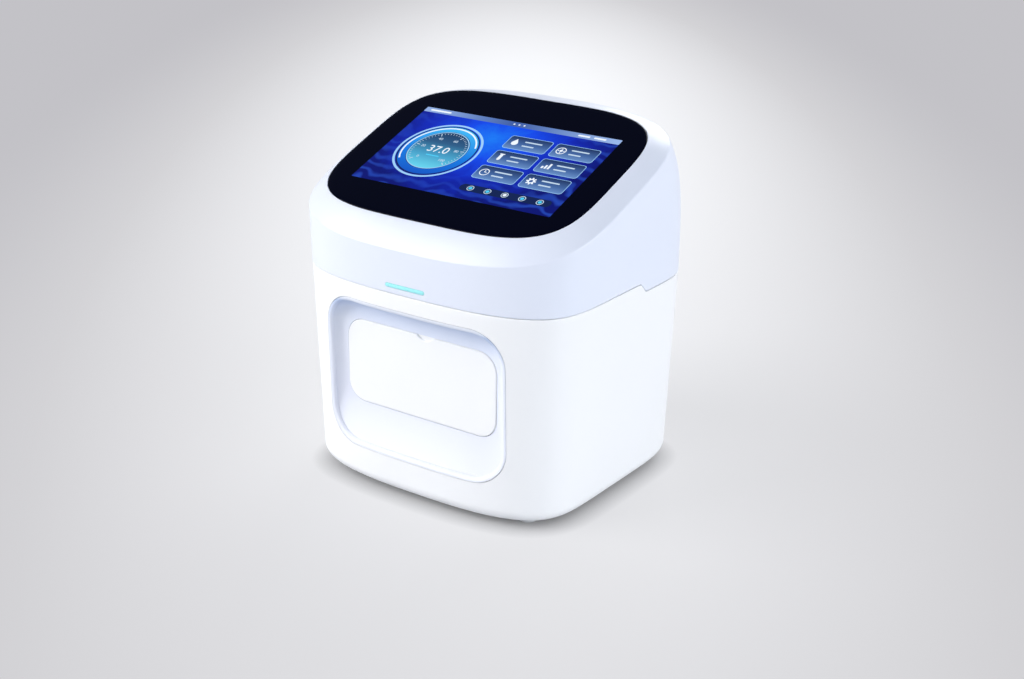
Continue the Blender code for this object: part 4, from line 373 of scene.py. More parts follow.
def swing_level(ring, top):
    """Top of the inner wall where the lid's rear edge sweeps past it in a circle."""
    lead = np.clip(wall_reach(ring[:, 0], LID_BASE) - HINGE_Y, 0, None)
    radius = np.hypot(lead, HINGE_RADIUS) + SWING_CLEARANCE
    behind = ring[:, 1] - HINGE_Y
    sweep = HINGE_Z - np.sqrt(np.clip(radius ** 2 - behind ** 2, 0, None))
    return np.where(np.abs(behind) < radius, np.minimum(top, sweep), top)


def cutter(flat, middle, depths, material):
    """Bar along Y with an outline, which cuts an opening."""
    return skin("cutter", [upright(flat, y, middle) for y in depths], material)


def lower_shell(material):
    """Drafted tub: wall up to a rolled edge at the seam, rounded foot, flange and inner wall.

    Each row is the wall's section at its height; the foot's rows follow a quarter circle.
    """
    start = BODY_BASE + BOTTOM_ROUND
    top = seam_level(wall_section(SEAM)[:, 1])
    inner_top = swing_level(wall_section(SEAM, WALL), top)
    outer_top = swing_level(wall_section(SEAM, LIP / 2), top)
    rings = [wall_section(outer_top - drop, inset)
             for inset, drop in quarter_round(LIP, LIP_ROWS)[::-1]]
    rings += [wall_section(start + (outer_top - LIP - start) * share)
              for share in np.linspace(1, 0, WALL_ROWS)]
    rings += [wall_section(start, inset, BODY_BASE + rise)
              for inset, rise in quarter_round(BOTTOM_ROUND, FOOT_ROWS)[1:]]
    rings += [wall_section(start, BOTTOM_FLANGE, level) for level in (BODY_BASE, BODY_BASE + WALL)]
    rings += [wall_section(start, WALL + inset, BODY_BASE + WALL + rise)
              for inset, rise in quarter_round(BOTTOM_ROUND - WALL, INNER_FOOT_ROWS)[::-1]]
    rings += [wall_section(start + (inner_top - start) * share, WALL)
              for share in np.linspace(0, 1, INNER_WALL_ROWS)[1:]]
    return take_out(skin("lower_shell", rings, material, ends="loop"),
                    cutter(round_rectangle(RECESS_HALF, RECESS_CORNER, 16, 8), RECESS_MIDDLE,
                           (-HALF_DEPTH - TOOL_REACH, -0.06), material),
                    cutter(round_rectangle(REAR_HALF, REAR_CORNER, 16, 8), REAR_MIDDLE,
                           (0.06, HALF_DEPTH + TOOL_REACH), material))


def lid_rows(shares, floor, inset=0.0, drop=CREASE_DROP):
    """Lid wall rows: each goes from the seam outline to the crease.

    Part way up, a point has moved to the crease by share^power, where the power grows from the
    front (early flare) to the rear (late lean). floor gives the lowest height of each column.
    """
    foot = lift(squircle(BODY_HALF - DRAFT * (SEAM - LID_BASE) - inset, BODY_POWERS), LID_BASE)
    crest = crease_ring(inset, drop)
    back = (1 + foot[:, 1] / HALF_DEPTH) / 2
    power = FRONT_FLARE_POWER ** (1 - back) * REAR_LEAN_POWER ** back
    rise = crest[:, 2] - foot[:, 2]
    first = np.clip((floor - LID_BASE) / rise, 0, 1)
    rows = []
    for share in shares:
        part = np.clip(first + (1 - first) * share, 1e-6, 1)
        row = foot + (crest - foot) * (part ** power)[:, None]
        row[:, 2] = LID_BASE + rise * part
        rows.append(row)
    return rows


def rim_row(share):
    """Bevelled rim part way from the crease to the glass, with a slight crown."""
    edge, glass = crease_ring(), glass_ring(-FIT)
    return edge + (glass - edge) * share + DISPLAY_UP * RIM_CROWN * math.sin(math.pi * share)


def upper_shell(material):
    """Lid moulding: wall, rolled crease, crowned rim, seat of the glass and the inner wall.

    The crease is a quadratic curve from the wall's last row over the crease to the rim's first.
    """
    foot = squircle(BODY_HALF, BODY_POWERS)
    floor = seam_level(foot[:, 1]) + SEAM_GAP
    wall = lid_rows(np.linspace(0, LID_END, LID_ROWS), floor)
    bottom = [wall[0] + lift(unit(foot) * -inward, up)
              for up, inward in quarter_round(LIP, LIP_ROWS)[:-1]]
    wall[0][:, 2] += LIP
    crest, edge = crease_ring(), rim_row(RIM_START)
    bend = [wall[-1] * (1 - t) ** 2 + 2 * crest * t * (1 - t) + edge * t ** 2
            for t in np.linspace(0, 1, BEND_ROWS)[1:-1]]
    rim = [rim_row(share) for share in np.linspace(RIM_START, RIM_END, RIM_ROWS)]
    roll = [glass_ring(-FIT) - DISPLAY_UP * d for d in (0.00015, 0.0005)]
    seat = GLASS_THICKNESS + FIT
    under = seat + LEDGE_THICKNESS
    ledge = [glass_ring(-FIT, seat), glass_ring(LEDGE_WIDTH, seat),
             glass_ring(LEDGE_WIDTH, under), glass_ring(-WALL / 2, under + FIT)]
    inner = lid_rows((1.0, 0.84, 0.66, 0.48, 0.3, 0.15, 0.0), floor, WALL, CREASE_DROP + WALL)
    shell = skin("upper_shell", bottom + wall + bend + rim + roll + ledge + inner, material,
                 ends="loop")
    slot = round_rectangle(LIGHT_HALF + FIT, LIGHT_HALF[1] + FIT, 10, 4)
    return take_out(shell, cutter(slot, LIGHT_HEIGHT,
                                  (-HALF_DEPTH - TOOL_REACH, -HALF_DEPTH + 0.008), material))


def recess_ring(inset, depth, behind=0.0):
    """Recess outline drawn in by an inset, at a depth behind the bowed front face."""
    flat = round_rectangle(RECESS_HALF - FIT - inset, RECESS_CORNER - inset)
    face = wall_reach(flat[:, 0], flat[:, 1] + RECESS_MIDDLE, behind)
    return upright(flat, depth - face, RECESS_MIDDLE)


def mouth_ring(grow, y):
    """Outline of the drawer opening at a depth."""
    grow = PANEL_GAP + grow
    return upright(round_rectangle(PANEL_HALF + grow, PANEL_CORNER + grow), y, PANEL_MIDDLE)


def scoop_ring(share, back=0.0):
    """Recess wall part way in: depth runs as 1 - (1 - share)^power, steep above, a ramp below."""
    rim = recess_ring(RECESS_LIP - back, RECESS_LIP + back)
    floor = mouth_ring(back, RECESS_FLOOR + back)
    up = (1 + np.clip((rim[:, 2] - RECESS_MIDDLE) / RECESS_HALF[1], -1, 1)) / 2
    power = RAMP_POWER ** (1 - up) * TOP_POWER ** up
    ring = rim + (floor - rim) * share
    ring[:, 1] = rim[:, 1] + (floor[:, 1] - rim[:, 1]) * (1 - (1 - share) ** power)
    return ring


def bezel(material):
    """Recess moulding: rolled lip, scoop with its ramp, drawer mouth, flange behind the wall."""
    turns = np.linspace(0, math.pi / 2, 9)
    rings = [recess_ring(RECESS_LIP * math.sin(t), RECESS_LIP * (1 - math.cos(t))) for t in turns]
    rings += [scoop_ring(share) for share in np.linspace(0, 1, SCOOP_ROWS)[1:]]
    sleeve = RECESS_FLOOR + BEZEL_WALL + BEZEL_SLEEVE
    rings += [mouth_ring(0, sleeve), mouth_ring(BEZEL_WALL, sleeve)]
    rings += [scoop_ring(share, BEZEL_WALL) for share in np.linspace(1, 0.12, SCOOP_BACK_ROWS)]
    rings += [recess_ring(-grow, depth, WALL + 2 * FIT) for grow, depth in
              ((0, BEZEL_WALL), (BEZEL_FLANGE, BEZEL_WALL), (BEZEL_FLANGE, 0), (0, 0))]
    return skin("recess_bezel", rings, material, ends="loop")


def drawer_panel(material):
    """Flat panel with an eased edge; its front half dips at the finger notch.

    Rows run from the rim inwards. Within the notch a row's height is held below a circle's arc.
    """
    radius = (NOTCH_HALF ** 2 + NOTCH_DEPTH ** 2) / (2 * NOTCH_DEPTH)
    centre = PANEL_TOP + PANEL_GROWTH + radius - NOTCH_DEPTH
    back, front = PANEL_FACE + PANEL_THICKNESS, PANEL_FACE + PANEL_THICKNESS / 2
    plain = [(PANEL_FLAT, back), (PANEL_BACK_EASE, back), (0.0, back - PANEL_BACK_EASE),
             (0.0, front)]
    notched = [(0.0, front)] + [(inset, PANEL_FACE + depth)
                                for inset, depth in quarter_round(PANEL_EDGE, EASE_ROWS)]
    notched += [(0.004, PANEL_FACE), (PANEL_FLAT, PANEL_FACE)]
    rings = []
    for inset, y in plain + notched:
        grow = PANEL_GROWTH - inset
        flat = round_rectangle(PANEL_HALF + grow, max(PANEL_CORNER + grow, 0.001), edge_steps=90)
        ring = upright(flat, y, PANEL_MIDDLE)
        if len(rings) >= len(plain):
            x, z = ring[:, 0] - NOTCH_X, ring[:, 2]
            arc = centre - np.sqrt(np.clip(radius ** 2 - x ** 2, 0, None)) - inset
            ring[:, 2] = np.where((np.abs(x) < NOTCH_HALF) & (z > PANEL_MIDDLE),
                                  np.minimum(z, arc), z)
        rings.append(ring)
    return skin("drawer_panel", rings, material)


def glass_plate(material):
    """Cover glass: superellipse outline, its edge a quarter round, its face flat."""
    rings = [glass_ring(GLASS_FLAT, GLASS_THICKNESS), glass_ring(0.0, GLASS_THICKNESS)]
    rings += [glass_ring(inset, drop) for inset, drop in quarter_round(GLASS_EASE, EASE_ROWS)]
    rings += [glass_ring(0.004), glass_ring(GLASS_FLAT)]
    return skin("cover_glass", rings, material)


# Finishes: each is a Principled shader whose roughness, tone and relief come from noise

class Net:
    """Node tree of a material or of the world, with short calls that add and join nodes."""

    def __init__(self, owner, root="Principled BSDF"):
        owner.use_nodes = True
        self.tree = owner.node_tree
        self.root = self.tree.nodes[root]

    def put(self, node, *values, **named):
        """Fill a node's settings and inputs; sockets among the values are linked.

        An underscore in a name stands for a space.
        """
        for key, value in [*named.items(), *enumerate(values)]:
            if isinstance(key, str) and hasattr(node, key) and key not in node.inputs:
                setattr(node, key, value)
                continue
            entry = node.inputs[key.replace("_", " ") if isinstance(key, str) else key]
            if isinstance(value, bpy.types.NodeSocket):
                self.tree.links.new(value, entry)
            else:
                entry.default_value = value

    def add(self, kind, *values, out=0, **named):
        """New node of a kind; one of its outputs comes back."""
        node = self.tree.nodes.new("ShaderNode" + kind)
        self.put(node, *values, **named)
        return node.outputs[out]

    def math(self, operation, *values, **named):
        """Result of an operation on values."""
        return self.add("Math", *values, operation=operation, **named)

    def noise(self, place, scale, detail, **named):
        """Noise over a place, as one value."""
        return self.add("TexNoise", place, out="Fac", Scale=scale, Detail=detail, **named)

    def span(self, value, *ends):
        """Value carried from its low and high end to new ends, which are 0 and 1 if not given."""
        return self.add("MapRange", value, *ends)

    def mix(self, factor, first, second, blend_type="MIX"):
        """Mix of two colours, or of colour sockets."""
        pair = [colour if isinstance(colour, bpy.types.NodeSocket) else (*colour, 1)
                for colour in (first, second)]
        return self.add("Mix", out="Result", data_type="RGBA", blend_type=blend_type,
                        Factor=factor, A=pair[0], B=pair[1])

    def ramp(self, value, stops, interpolation="LINEAR"):
        """Colour from stops, each a place and a colour, over a value."""
        node = self.tree.nodes.new("ShaderNodeValToRGB")
        node.color_ramp.interpolation = interpolation
        elements = node.color_ramp.elements
        for number, (place, colour) in enumerate(stops):
            stop = elements[number] if number < 2 else elements.new(place)
            stop.position = place
            stop.color = (*colour, 1)
        self.tree.links.new(value, node.inputs["Fac"])
        return node.outputs["Color"]

    def radius(self, vector, centre, scale, turn=0.0):
        """Distance from a place in a plane, over a scale that may be turned."""
        near = self.add("Mapping", vector, vector_type="TEXTURE", Location=(*centre, 0),
                        Rotation=(0, 0, turn), Scale=scale)
        return self.add("VectorMath", near, operation="LENGTH", out="Value")


def finish(name, colour, rough, metal=0.0, tone=0.03, rough_swing=0.06, relief=0.02, grain=900.0,
           stretch=(1, 1, 1), tone_scale=18.0, coat=0.0, specular=0.5, glow=0.0, painted_shade_by_height=None):
    """Plain finish with fine relief, slow tone change and uneven gloss.

    It can glow evenly, or have painted shade: its tone multiplied by a ramp between two heights.
    """
    material = bpy.data.materials.new(name)
    net = Net(material)
    place = net.add("TexCoord", out="Object")
    grained = net.add("Mapping", place, Scale=stretch)
    slow = net.noise(grained, tone_scale, 4.0, Roughness=0.6)
    fine = net.noise(grained, grain, 3.0, Roughness=0.55)
    tint = net.mix(slow, [max(c * (1 - tone), 0) for c in colour],
                   [min(c * (1 + tone * 0.6), 1) for c in colour])
    # Painted shade: the tone is multiplied by darker and lighter stops over the height.
    if painted_shade_by_height:
        low, high, stops = painted_shade_by_height
        height = net.span(net.add("SeparateXYZ", place, out="Z"), low, high)
        tint = net.mix(1.0, tint, net.ramp(height, stops), "MULTIPLY")
    uneven = net.math("MULTIPLY", net.math("MULTIPLY", slow, fine), 2.0)
    gloss = net.span(uneven, 0.3, 0.7, max(rough - rough_swing, 0.02), rough + rough_swing)
    net.put(net.root, Metallic=metal, Specular_IOR_Level=specular, Coat_Weight=coat,
            Base_Color=tint, Roughness=gloss,
            Normal=net.add("Bump", Strength=relief, Distance=0.0004, Height=fine))
    if glow:
        net.put(net.root, Emission_Color=(*colour, 1), Emission_Strength=glow)
    return material


WHITE = finish("moulded_white", (0.93, 0.935, 0.945), 0.36, tone=0.010, relief=0.035, grain=1500.0)
PALE = finish("moulded_pale_blue", (0.79, 0.83, 0.935), 0.34, tone=0.012, relief=0.035,
              grain=1500.0)
# Painted shade on the recess moulding, multiplied over its height from bottom (0) to top (1):
# darkest just under the top lip, where the overhang shades the recess wall, lighter again on the
# lip itself, and a softer darkening lower down.
BEZEL_PAINTED_SHADE = ((0.0, (0.955, 0.96, 0.98)), (0.36, (0.90, 0.912, 0.965)),
               (0.62, (0.93, 0.945, 0.985)), (0.80, (0.91, 0.935, 0.98)),
               (0.89, (0.77, 0.83, 0.945)), (0.955, (0.53, 0.63, 0.83)),
               (0.975, (0.86, 0.90, 0.97)), (1.0, (1.0, 1.0, 1.0)))
BEZEL = finish("moulded_bezel", (0.89, 0.905, 0.965), 0.40, tone=0.014, relief=0.035, grain=1500.0,
               painted_shade_by_height=(RECESS_MIDDLE - RECESS_HALF[1], RECESS_MIDDLE + RECESS_HALF[1],
                          BEZEL_PAINTED_SHADE))
GLASS = finish("black_cover_glass", (0.0006, 0.001, 0.007), 0.06, tone=0.1, rough_swing=0.02,
               relief=0.0, specular=0.06)
CYAN = finish("light_pipe_cyan", (0.33, 0.78, 0.80), 0.3, tone=0.05, rough_swing=0.03, relief=0.0,
              glow=0.16)
GREY = finish("moulded_grey", (0.30, 0.32, 0.35), 0.45, relief=0.06, grain=1300.0)
BLACK = finish("moulded_black", (0.022, 0.022, 0.026), 0.42, relief=0.08, grain=1300.0)
RUBBER = finish("rubber_grey", (0.58, 0.59, 0.61), 0.75, relief=0.15, grain=700.0)
ZINC = finish("zinc_sheet", (0.60, 0.62, 0.64), 0.36, metal=1.0, tone=0.05, rough_swing=0.05,
              relief=0.015, grain=420.0, tone_scale=60.0)
STEEL = finish("bare_steel", (0.62, 0.63, 0.65), 0.30, metal=1.0, tone=0.03, rough_swing=0.03,
               relief=0.015, grain=900.0, stretch=(1, 6, 1))
ALLOY = finish("milled_aluminium", (0.78, 0.79, 0.81), 0.34, metal=1.0, tone=0.03,
               rough_swing=0.04, relief=0.03, grain=700.0, stretch=(1, 9, 1))
SOLDER_MASK = finish("green_solder_mask", (0.012, 0.115, 0.045), 0.34, tone=0.18, relief=0.10,
                     grain=520.0, tone_scale=240.0, coat=0.3)
NATURAL = finish("natural_acetal", (0.82, 0.82, 0.78), 0.42, tone=0.03, relief=0.05)
COPPER = finish("gold_contact", (0.83, 0.62, 0.26), 0.28, metal=1.0, tone=0.05, relief=0.02)
OXIDE = finish("blackened_steel", (0.06, 0.06, 0.065), 0.34, metal=1.0, tone=0.06, relief=0.05,
               grain=800.0)
RESIN = finish("chip_resin", (0.030, 0.031, 0.034), 0.50, tone=0.08, relief=0.12, grain=2500.0)
CERAMIC = finish("capacitor_ceramic", (0.62, 0.52, 0.38), 0.45, tone=0.08, relief=0.05,
                 grain=2500.0)
TIN = finish("tinned_copper", (0.78, 0.79, 0.80), 0.28, metal=1.0, tone=0.04, relief=0.02)
SEAL = finish("seal_rubber", (0.52, 0.54, 0.57), 0.62, tone=0.03, relief=0.10, grain=900.0)
MARKING = finish("printed_mark", (0.86, 0.87, 0.88), 0.55, relief=0.04)
WIRES = {label: finish(f"wire_jacket_{label}", colour, 0.45, tone=0.04, relief=0.05)
         for label, colour in (("red", (0.55, 0.03, 0.03)), ("black", (0.02, 0.02, 0.02)),
                               ("white", (0.80, 0.80, 0.78)), ("blue", (0.04, 0.13, 0.50)))}


# Display: its lit parts are thin slabs on the glass, in the plane of its face

GAUGE = np.array((-0.0370, -0.0010))
GAUGE_RADIUS = 0.0270
SCREEN_HALF = (0.0770, 0.0430)
SCREEN_SUNK = -0.0004
LEVELS = np.arange(8) * 0.00003 + 0.00004
TILE_HALF = np.array((0.0162, 0.0072))
TILE_COLUMNS = (0.0190, 0.0545)
TILE_ROWS = (0.0215, 0.0040, -0.0135)
BAR_HALF = (0.0770, 0.0026)
BAR_Y = 0.0404
STRIP_HALF = (0.034, 0.0034)
STRIP_CENTRE = (0.0367, -0.0315)


def picture(name, build, strength=1.0):
    """Lit picture: its colour comes from Object coordinates, under a glossy face.

    build gets the nodes and the display's own coordinates, and gives the colour output.
    """
    material = bpy.data.materials.new(name)
    net = Net(material)
    place = net.add("TexCoord", out="Object")
    colour = build(net, net.add("Mapping", place, vector_type="TEXTURE",
                                Location=DISPLAY_CENTRE, Rotation=(SLOPE, 0, 0)))
    net.put(net.root, Specular_IOR_Level=0.15, Emission_Strength=strength, Emission_Color=colour,
            Base_Color=net.mix(0.92, colour, (0.002, 0.003, 0.01)),
            Roughness=net.span(net.noise(place, 45.0, 3.0), 0.0, 1.0, 0.04, 0.10))
    return material


def deep_blue(net, vector):
    """Azure light behind the gauge that sinks to night blue, with bright drifting streaks."""
    reach = net.radius(vector, (-0.008, 0.020), (0.086, 0.068, 1))
    cloud = net.noise(vector, 34.0, 6.0, Roughness=0.65, Distortion=1.6)
    total = net.math("ADD", reach, net.math("MULTIPLY_ADD", cloud, 0.50, -0.25))
    ground = net.ramp(total, ((0.0, (0.008, 0.175, 0.85)), (0.30, (0.004, 0.060, 0.76)),
                              (0.62, (0.003, 0.018, 0.44)), (1.0, (0.001, 0.004, 0.15))))
    wave = net.add("TexWave", vector, out="Fac", bands_direction="Y", Scale=30.0,
                   Distortion=12.0, Detail=2.0, Detail_Scale=1.1, Detail_Roughness=0.5)
    amount = net.math("MULTIPLY", net.span(wave, 0.40, 1.0), net.span(reach, 0.55, 1.15, 0.0, 0.34))
    return net.mix(amount, ground, (0.035, 0.14, 0.86))


def banded(low, high, stops, repeat=False):
    """Picture whose colour follows the height on the display, once or in equal bands."""
    def build(net, vector):
        height = net.add("SeparateXYZ", vector, out="Y")
        if repeat:
            height = net.math("WRAP", height, high, low)
        return net.ramp(net.span(height, low, high), stops)
    return build


def even(colour):
    """Picture colour that is almost the same everywhere, with a faint slow drift."""
    def build(net, vector):
        return net.ramp(net.noise(vector, 30.0, 2.0),
                        ((0.3, [c * 0.93 for c in colour]), (0.7, colour)))
    return build


def bar_face(net, vector):
    """Top bar: slate blue in the middle, paler towards both ends."""
    return net.ramp(net.radius(vector, (-0.004, 0.0), (0.078, 9.0, 1)),
                    ((0.0, (0.045, 0.10, 0.34)), (0.35, (0.11, 0.20, 0.48)),
                     (1.0, (0.30, 0.44, 0.76))))


FIELD = picture("picture_deep_blue", deep_blue)
LIT_PALE = picture("picture_pale", even((0.62, 0.78, 0.93)), 0.9)
LIT_WHITE = picture("picture_white", even((0.86, 0.93, 1.0)))
LIT_CYAN = picture("picture_cyan", even((0.08, 0.60, 0.90)))
NIGHT = picture("picture_night", even((0.004, 0.014, 0.075)))
OUTLINE = picture("picture_outline", even((0.34, 0.62, 0.92)))
BAR = picture("picture_bar", bar_face)
SLATE = picture("picture_slate", banded(
    TILE_ROWS[1] + TILE_HALF[1], TILE_ROWS[0] + TILE_HALF[1],
    ((0.0, (0.17, 0.32, 0.62)), (0.55, (0.05, 0.12, 0.32)), (1.0, (0.008, 0.022, 0.085))),
    repeat=True))
GAUGE_RING = picture("picture_gauge_ring", banded(
    GAUGE[1] - 0.027, GAUGE[1] + 0.027,
    ((0.0, (0.004, 0.085, 0.52)), (0.45, (0.006, 0.19, 0.72)), (1.0, (0.05, 0.46, 0.86)))))
GAUGE_FACE = picture("picture_gauge_face", banded(
    GAUGE[1] - 0.020, GAUGE[1] + 0.020,
    ((0.0, (0.13, 0.62, 0.80)), (0.35, (0.06, 0.34, 0.55)), (0.70, (0.025, 0.10, 0.22)),
     (1.0, (0.012, 0.040, 0.11)))))


def lit(outline, level, material, hole=None, low=0.0, name="part"):
    """Flat part of the display up to a level, with a hole where one is given."""
    rings = [lift(outline, low), lift(outline, LEVELS[level])]
    if hole is not None:
        rings += [lift(hole, LEVELS[level]), lift(hole, low)]
    return skin(name, rings, material, "cap" if hole is None else "loop", DISPLAY_POSE)


def pill(half_x, half_y, centre):
    """Outline of a bar with round ends."""
    return round_rectangle((half_x, half_y), half_y - 0.00001, 6, 4) + centre


def box(x, y, width, height):
    """Outline of an upright rectangle from its lower left corner."""
    return np.array(((x, y), (x + width, y), (x + width, y + height), (x, y + height)))


def writing(name, text, size, place, low, high, material, pose=DISPLAY_POSE):
    """Plain figures as a flat solid, centred on a place."""
    curve = bpy.data.curves.new(name, "FONT")
    curve.body = text
    curve.size = size
    curve.align_x = "CENTER"
    curve.align_y = "CENTER"
    curve.extrude = (high - low) / 2
    curve.resolution_u = 4
    holder = bpy.data.objects.new(name, curve)
    bpy.context.scene.collection.objects.link(holder)
    mesh = evaluated_mesh(holder)
    bpy.data.objects.remove(holder)
    bpy.data.curves.remove(curve)
    mesh.transform(pose @ Matrix.Translation((place[0], place[1], (low + high) / 2)))
    mesh.materials.clear()
    work = bmesh.new()
    work.from_mesh(mesh)
    bmesh.ops.remove_doubles(work, verts=work.verts[:], dist=0.0000005)
    work.to_mesh(mesh)
    work.free()
    return shown(name, mesh, material)


def tile_signs():
    """Outlines of the six plain signs, each with its hole or None, in shares of a sign's size."""
    turn = math.tau * np.arange(40) / 40
    pull = np.clip(np.sin(turn), 0, 1) ** 3
    drop = np.stack((np.cos(turn) * (1 - 0.75 * pull), np.sin(turn) + 0.9 * pull - 0.2), axis=1)
    turn = math.tau * np.arange(96) / 96
    teeth = 0.78 + 0.16 * np.clip(np.cos(8 * turn) * 3, -1, 1)
    dots = [(ring_of(0.13, 16, 0.54 * np.array(way)), None)
            for way in ((1, 0), (0, 1), (-1, 0), (0, -1))]
    return ([(drop * 0.62, None)],
            [(ring_of(0.30, 32), None), (ring_of(0.95), ring_of(0.78))] + dots,
            [(round_rectangle((0.30, 0.85), 0.29, 8, 3), None),
             (box(-0.48, 0.80, 0.96, 0.22), None)],
            [(box(x, -0.8, 0.38, height), None)
             for x, height in ((-0.7, 0.6), (-0.1, 1.0), (0.5, 1.5))],
            [(ring_of(0.92), ring_of(0.76)), (box(-0.07, 0.0, 0.14, 0.55), None),
             (box(0.0, -0.07, 0.45, 0.14), None)],
            [(teeth[:, None] * directions(turn), ring_of(0.36, 96))])


def gauge_parts():
    """Rings and face of the gauge, and the bright arc on its ring."""
    parts = [lit(ring_of(GAUGE_RADIUS * outer, count, GAUGE), level, material,
                 ring_of(GAUGE_RADIUS * hole, count, GAUGE) if hole else None)
             for outer, hole, count, level, material in (
                 (1.12, 1.06, 128, 1, OUTLINE), (1.03, 0, 128, 2, NIGHT),
                 (1.0, 0.795, 128, 3, GAUGE_RING), (0.76, 0, 96, 3, GAUGE_FACE),
                 (0.78, 0.755, 96, 4, OUTLINE))]
    rim = directions(np.radians(np.linspace(215, 20, 65))) * GAUGE_RADIUS
    return parts + [lit(np.concatenate((rim * 0.965, rim[::-1] * 0.925)) + GAUGE, 5, LIT_WHITE)]


def scale_parts():
    """Ticks, figures, the value in the middle and the line under it."""
    parts = []
    for step in range(41):
        inner, width = (0.62, 0.00028) if step % 8 == 0 else (0.67, 0.00014)
        along = directions(math.radians(225 - 270 * step / 40))
        side = np.array((-along[1], along[0])) * width
        start, end = along * GAUGE_RADIUS * inner, along * GAUGE_RADIUS * 0.72
        parts.append(lit(GAUGE + (start - side, end - side, end + side, start + side), 5, LIT_PALE))
    for step in range(6):
        spot = GAUGE + GAUGE_RADIUS * 0.50 * directions(math.radians(225 - 54 * step))
        parts.append(writing("part", str(20 * step), 0.0034, spot, 0, LEVELS[5], LIT_PALE))
    parts.append(writing("part", "37.0", 0.0098, GAUGE + (0, 0.0006), 0, LEVELS[5], LIT_WHITE))
    return parts + [lit(pill(0.0052, 0.0005, GAUGE + (0, -0.0062)), 5, LIT_CYAN)]


def tile_parts():
    """Six tiles, each with its outline, its sign and two lines."""
    parts = []
    for number, sign in enumerate(tile_signs()):
        centre = np.array((TILE_COLUMNS[number % 2], TILE_ROWS[number // 2]))
        parts.append(lit(round_rectangle(TILE_HALF, 0.0022, 8, 6) + centre, 1, OUTLINE))
        parts.append(lit(round_rectangle(TILE_HALF - 0.0004, 0.0019, 8, 6) + centre, 2, SLATE))
        spot = centre + (-0.0100, 0.0)
        parts += [lit(spot + outline * 0.0038, 3, LIT_WHITE,
                      None if hole is None else spot + hole * 0.0038) for outline, hole in sign]
        parts += [lit(pill(half, 0.0006, centre + (half - 0.0034, row)), 3, LIT_PALE)
                  for row, half in ((0.0022, 0.0066), (-0.0022, 0.0046))]
    return parts


def strip_parts():
    """Dark strip with five ringed dots."""
    parts = [lit(round_rectangle(STRIP_HALF, 0.0033, 10, 8) + STRIP_CENTRE, 1, NIGHT)]
    for shift in spread(5, 0.0130):
        spot = np.add(STRIP_CENTRE, (shift, 0.0))
        parts.append(lit(ring_of(0.0025, 40, spot), 2, LIT_PALE, ring_of(0.0020, 40, spot)))
        parts.append(lit(ring_of(0.0013, 32, spot), 2, LIT_CYAN if shift else LIT_WHITE))
    return parts


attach(lit(round_rectangle(SCREEN_HALF, 0.0008, 6, 12), 0, FIELD, low=SCREEN_SUNK,
            name="screen_field"), "lid")
BAR_PARTS = [lit(round_rectangle(BAR_HALF, 0.0006, 4, 12) + (0, BAR_Y), 1, BAR)]
BAR_PARTS += [lit(pill(half, 0.0008, (x, BAR_Y)), 2, LIT_WHITE)
              for x, half in ((-0.064, 0.0085), (0.050, 0.0045), (0.062, 0.0045))]
BAR_PARTS += [lit(ring_of(0.0007, 20, (x, BAR_Y)), 2, LIT_WHITE) for x in (-0.004, 0.0, 0.004)]
for name, parts in (("screen_top_bar", BAR_PARTS), ("screen_gauge", gauge_parts()),
                    ("screen_scale", scale_parts()), ("screen_tiles", tile_parts()),
                    ("screen_strip", strip_parts())):
    grouped(name, parts, "lid")


# Shells that stand for the solids' own

for shell, body, node, slot in (
        (lower_shell(WHITE), "base", "lower_housing", "white_shell"),
        (upper_shell(PALE), "lid", "upper_housing", "pale_shell"),
        (bezel(BEZEL), "base", "front_bezel", "bezel_shell"),
        (drawer_panel(WHITE), "drawer", "drawer_front", "white_shell"),
        (glass_plate(GLASS), "lid", "touch_glass", "black_glass")):
    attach(shell, body)
    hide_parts(node)


# Remaining solids, each with the ease that its process leaves on an edge

KEPT = ((WHITE, 0.0003, "inner_deck lid_liner"),
        (GREY, 0.0004, "rear_panel"),
        (ZINC, 0.00015, "base_plate inner_frame drawer_motor power_supply display_bracket"),
        (RUBBER, 0.0, "foot_front_left foot_front_right foot_rear_left foot_rear_right"),
        (NATURAL, 0.0003, "drawer_rail_left drawer_rail_right drawer_tray drawer_rack "
                          "drawer_pinion turntable"),
        (BLACK, 0.0003, "turntable_knob fan_frame fan_rotor mains_inlet switch_frame "
                        "power_switch lcd_module speaker"),
        (ALLOY, 0.0003, "photometer_block lamp_housing heater_plate"),
        (SOLDER_MASK, 0.00012, "detector_board main_board display_board"),
        (STEEL, 0.00015, "usb_port_left usb_port_right network_port hinge_bracket_left "
                         "hinge_bracket_right lid_hinge_left lid_hinge_right hinge_pin_left "
                         "hinge_pin_right spindle_motor"))
BODY_OF = {node: body for body, nodes in frame["record"]["behaviour"]["bodies"].items()
           for node in nodes}
SHARP = 40.0


def dressed(node, ease, material):
    """Copy of a solid with its triangles merged, its sharp edges eased, its faces smooth."""
    work = bmesh.new()
    work.from_mesh(NODES[node].data)
    bmesh.ops.remove_doubles(work, verts=work.verts[:], dist=0.000002)
    bmesh.ops.dissolve_limit(work, angle_limit=math.radians(0.6), verts=work.verts[:],
                             edges=work.edges[:])
    if ease:
        sharp = [edge for edge in work.edges if len(edge.link_faces) == 2
                 and edge.calc_face_angle(0.0) > math.radians(SHARP)]
        bmesh.ops.bevel(work, geom=sharp, offset=ease, offset_type="OFFSET", segments=2,
                        profile=0.5, affect="EDGES", clamp_overlap=True)
    bmesh.ops.recalc_face_normals(work, faces=work.faces[:])
    mesh = bpy.data.meshes.new(node + "_finished")
    work.to_mesh(mesh)
    work.free()
    piece = shown(node + "_finished", shaded(mesh, SHARP), material)
    piece.modifiers.new("even_shade", "WEIGHTED_NORMAL").keep_sharp = True
    return piece


for material, ease, nodes in KEPT:
    for node in nodes.split():
        piece = dressed(node, ease, material)
        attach(piece, BODY_OF[node])
        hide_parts(node)


# Small parts: each is seated by a ray onto the solid that carries it

TREES = {}
SCREW_TWIST = 0.9


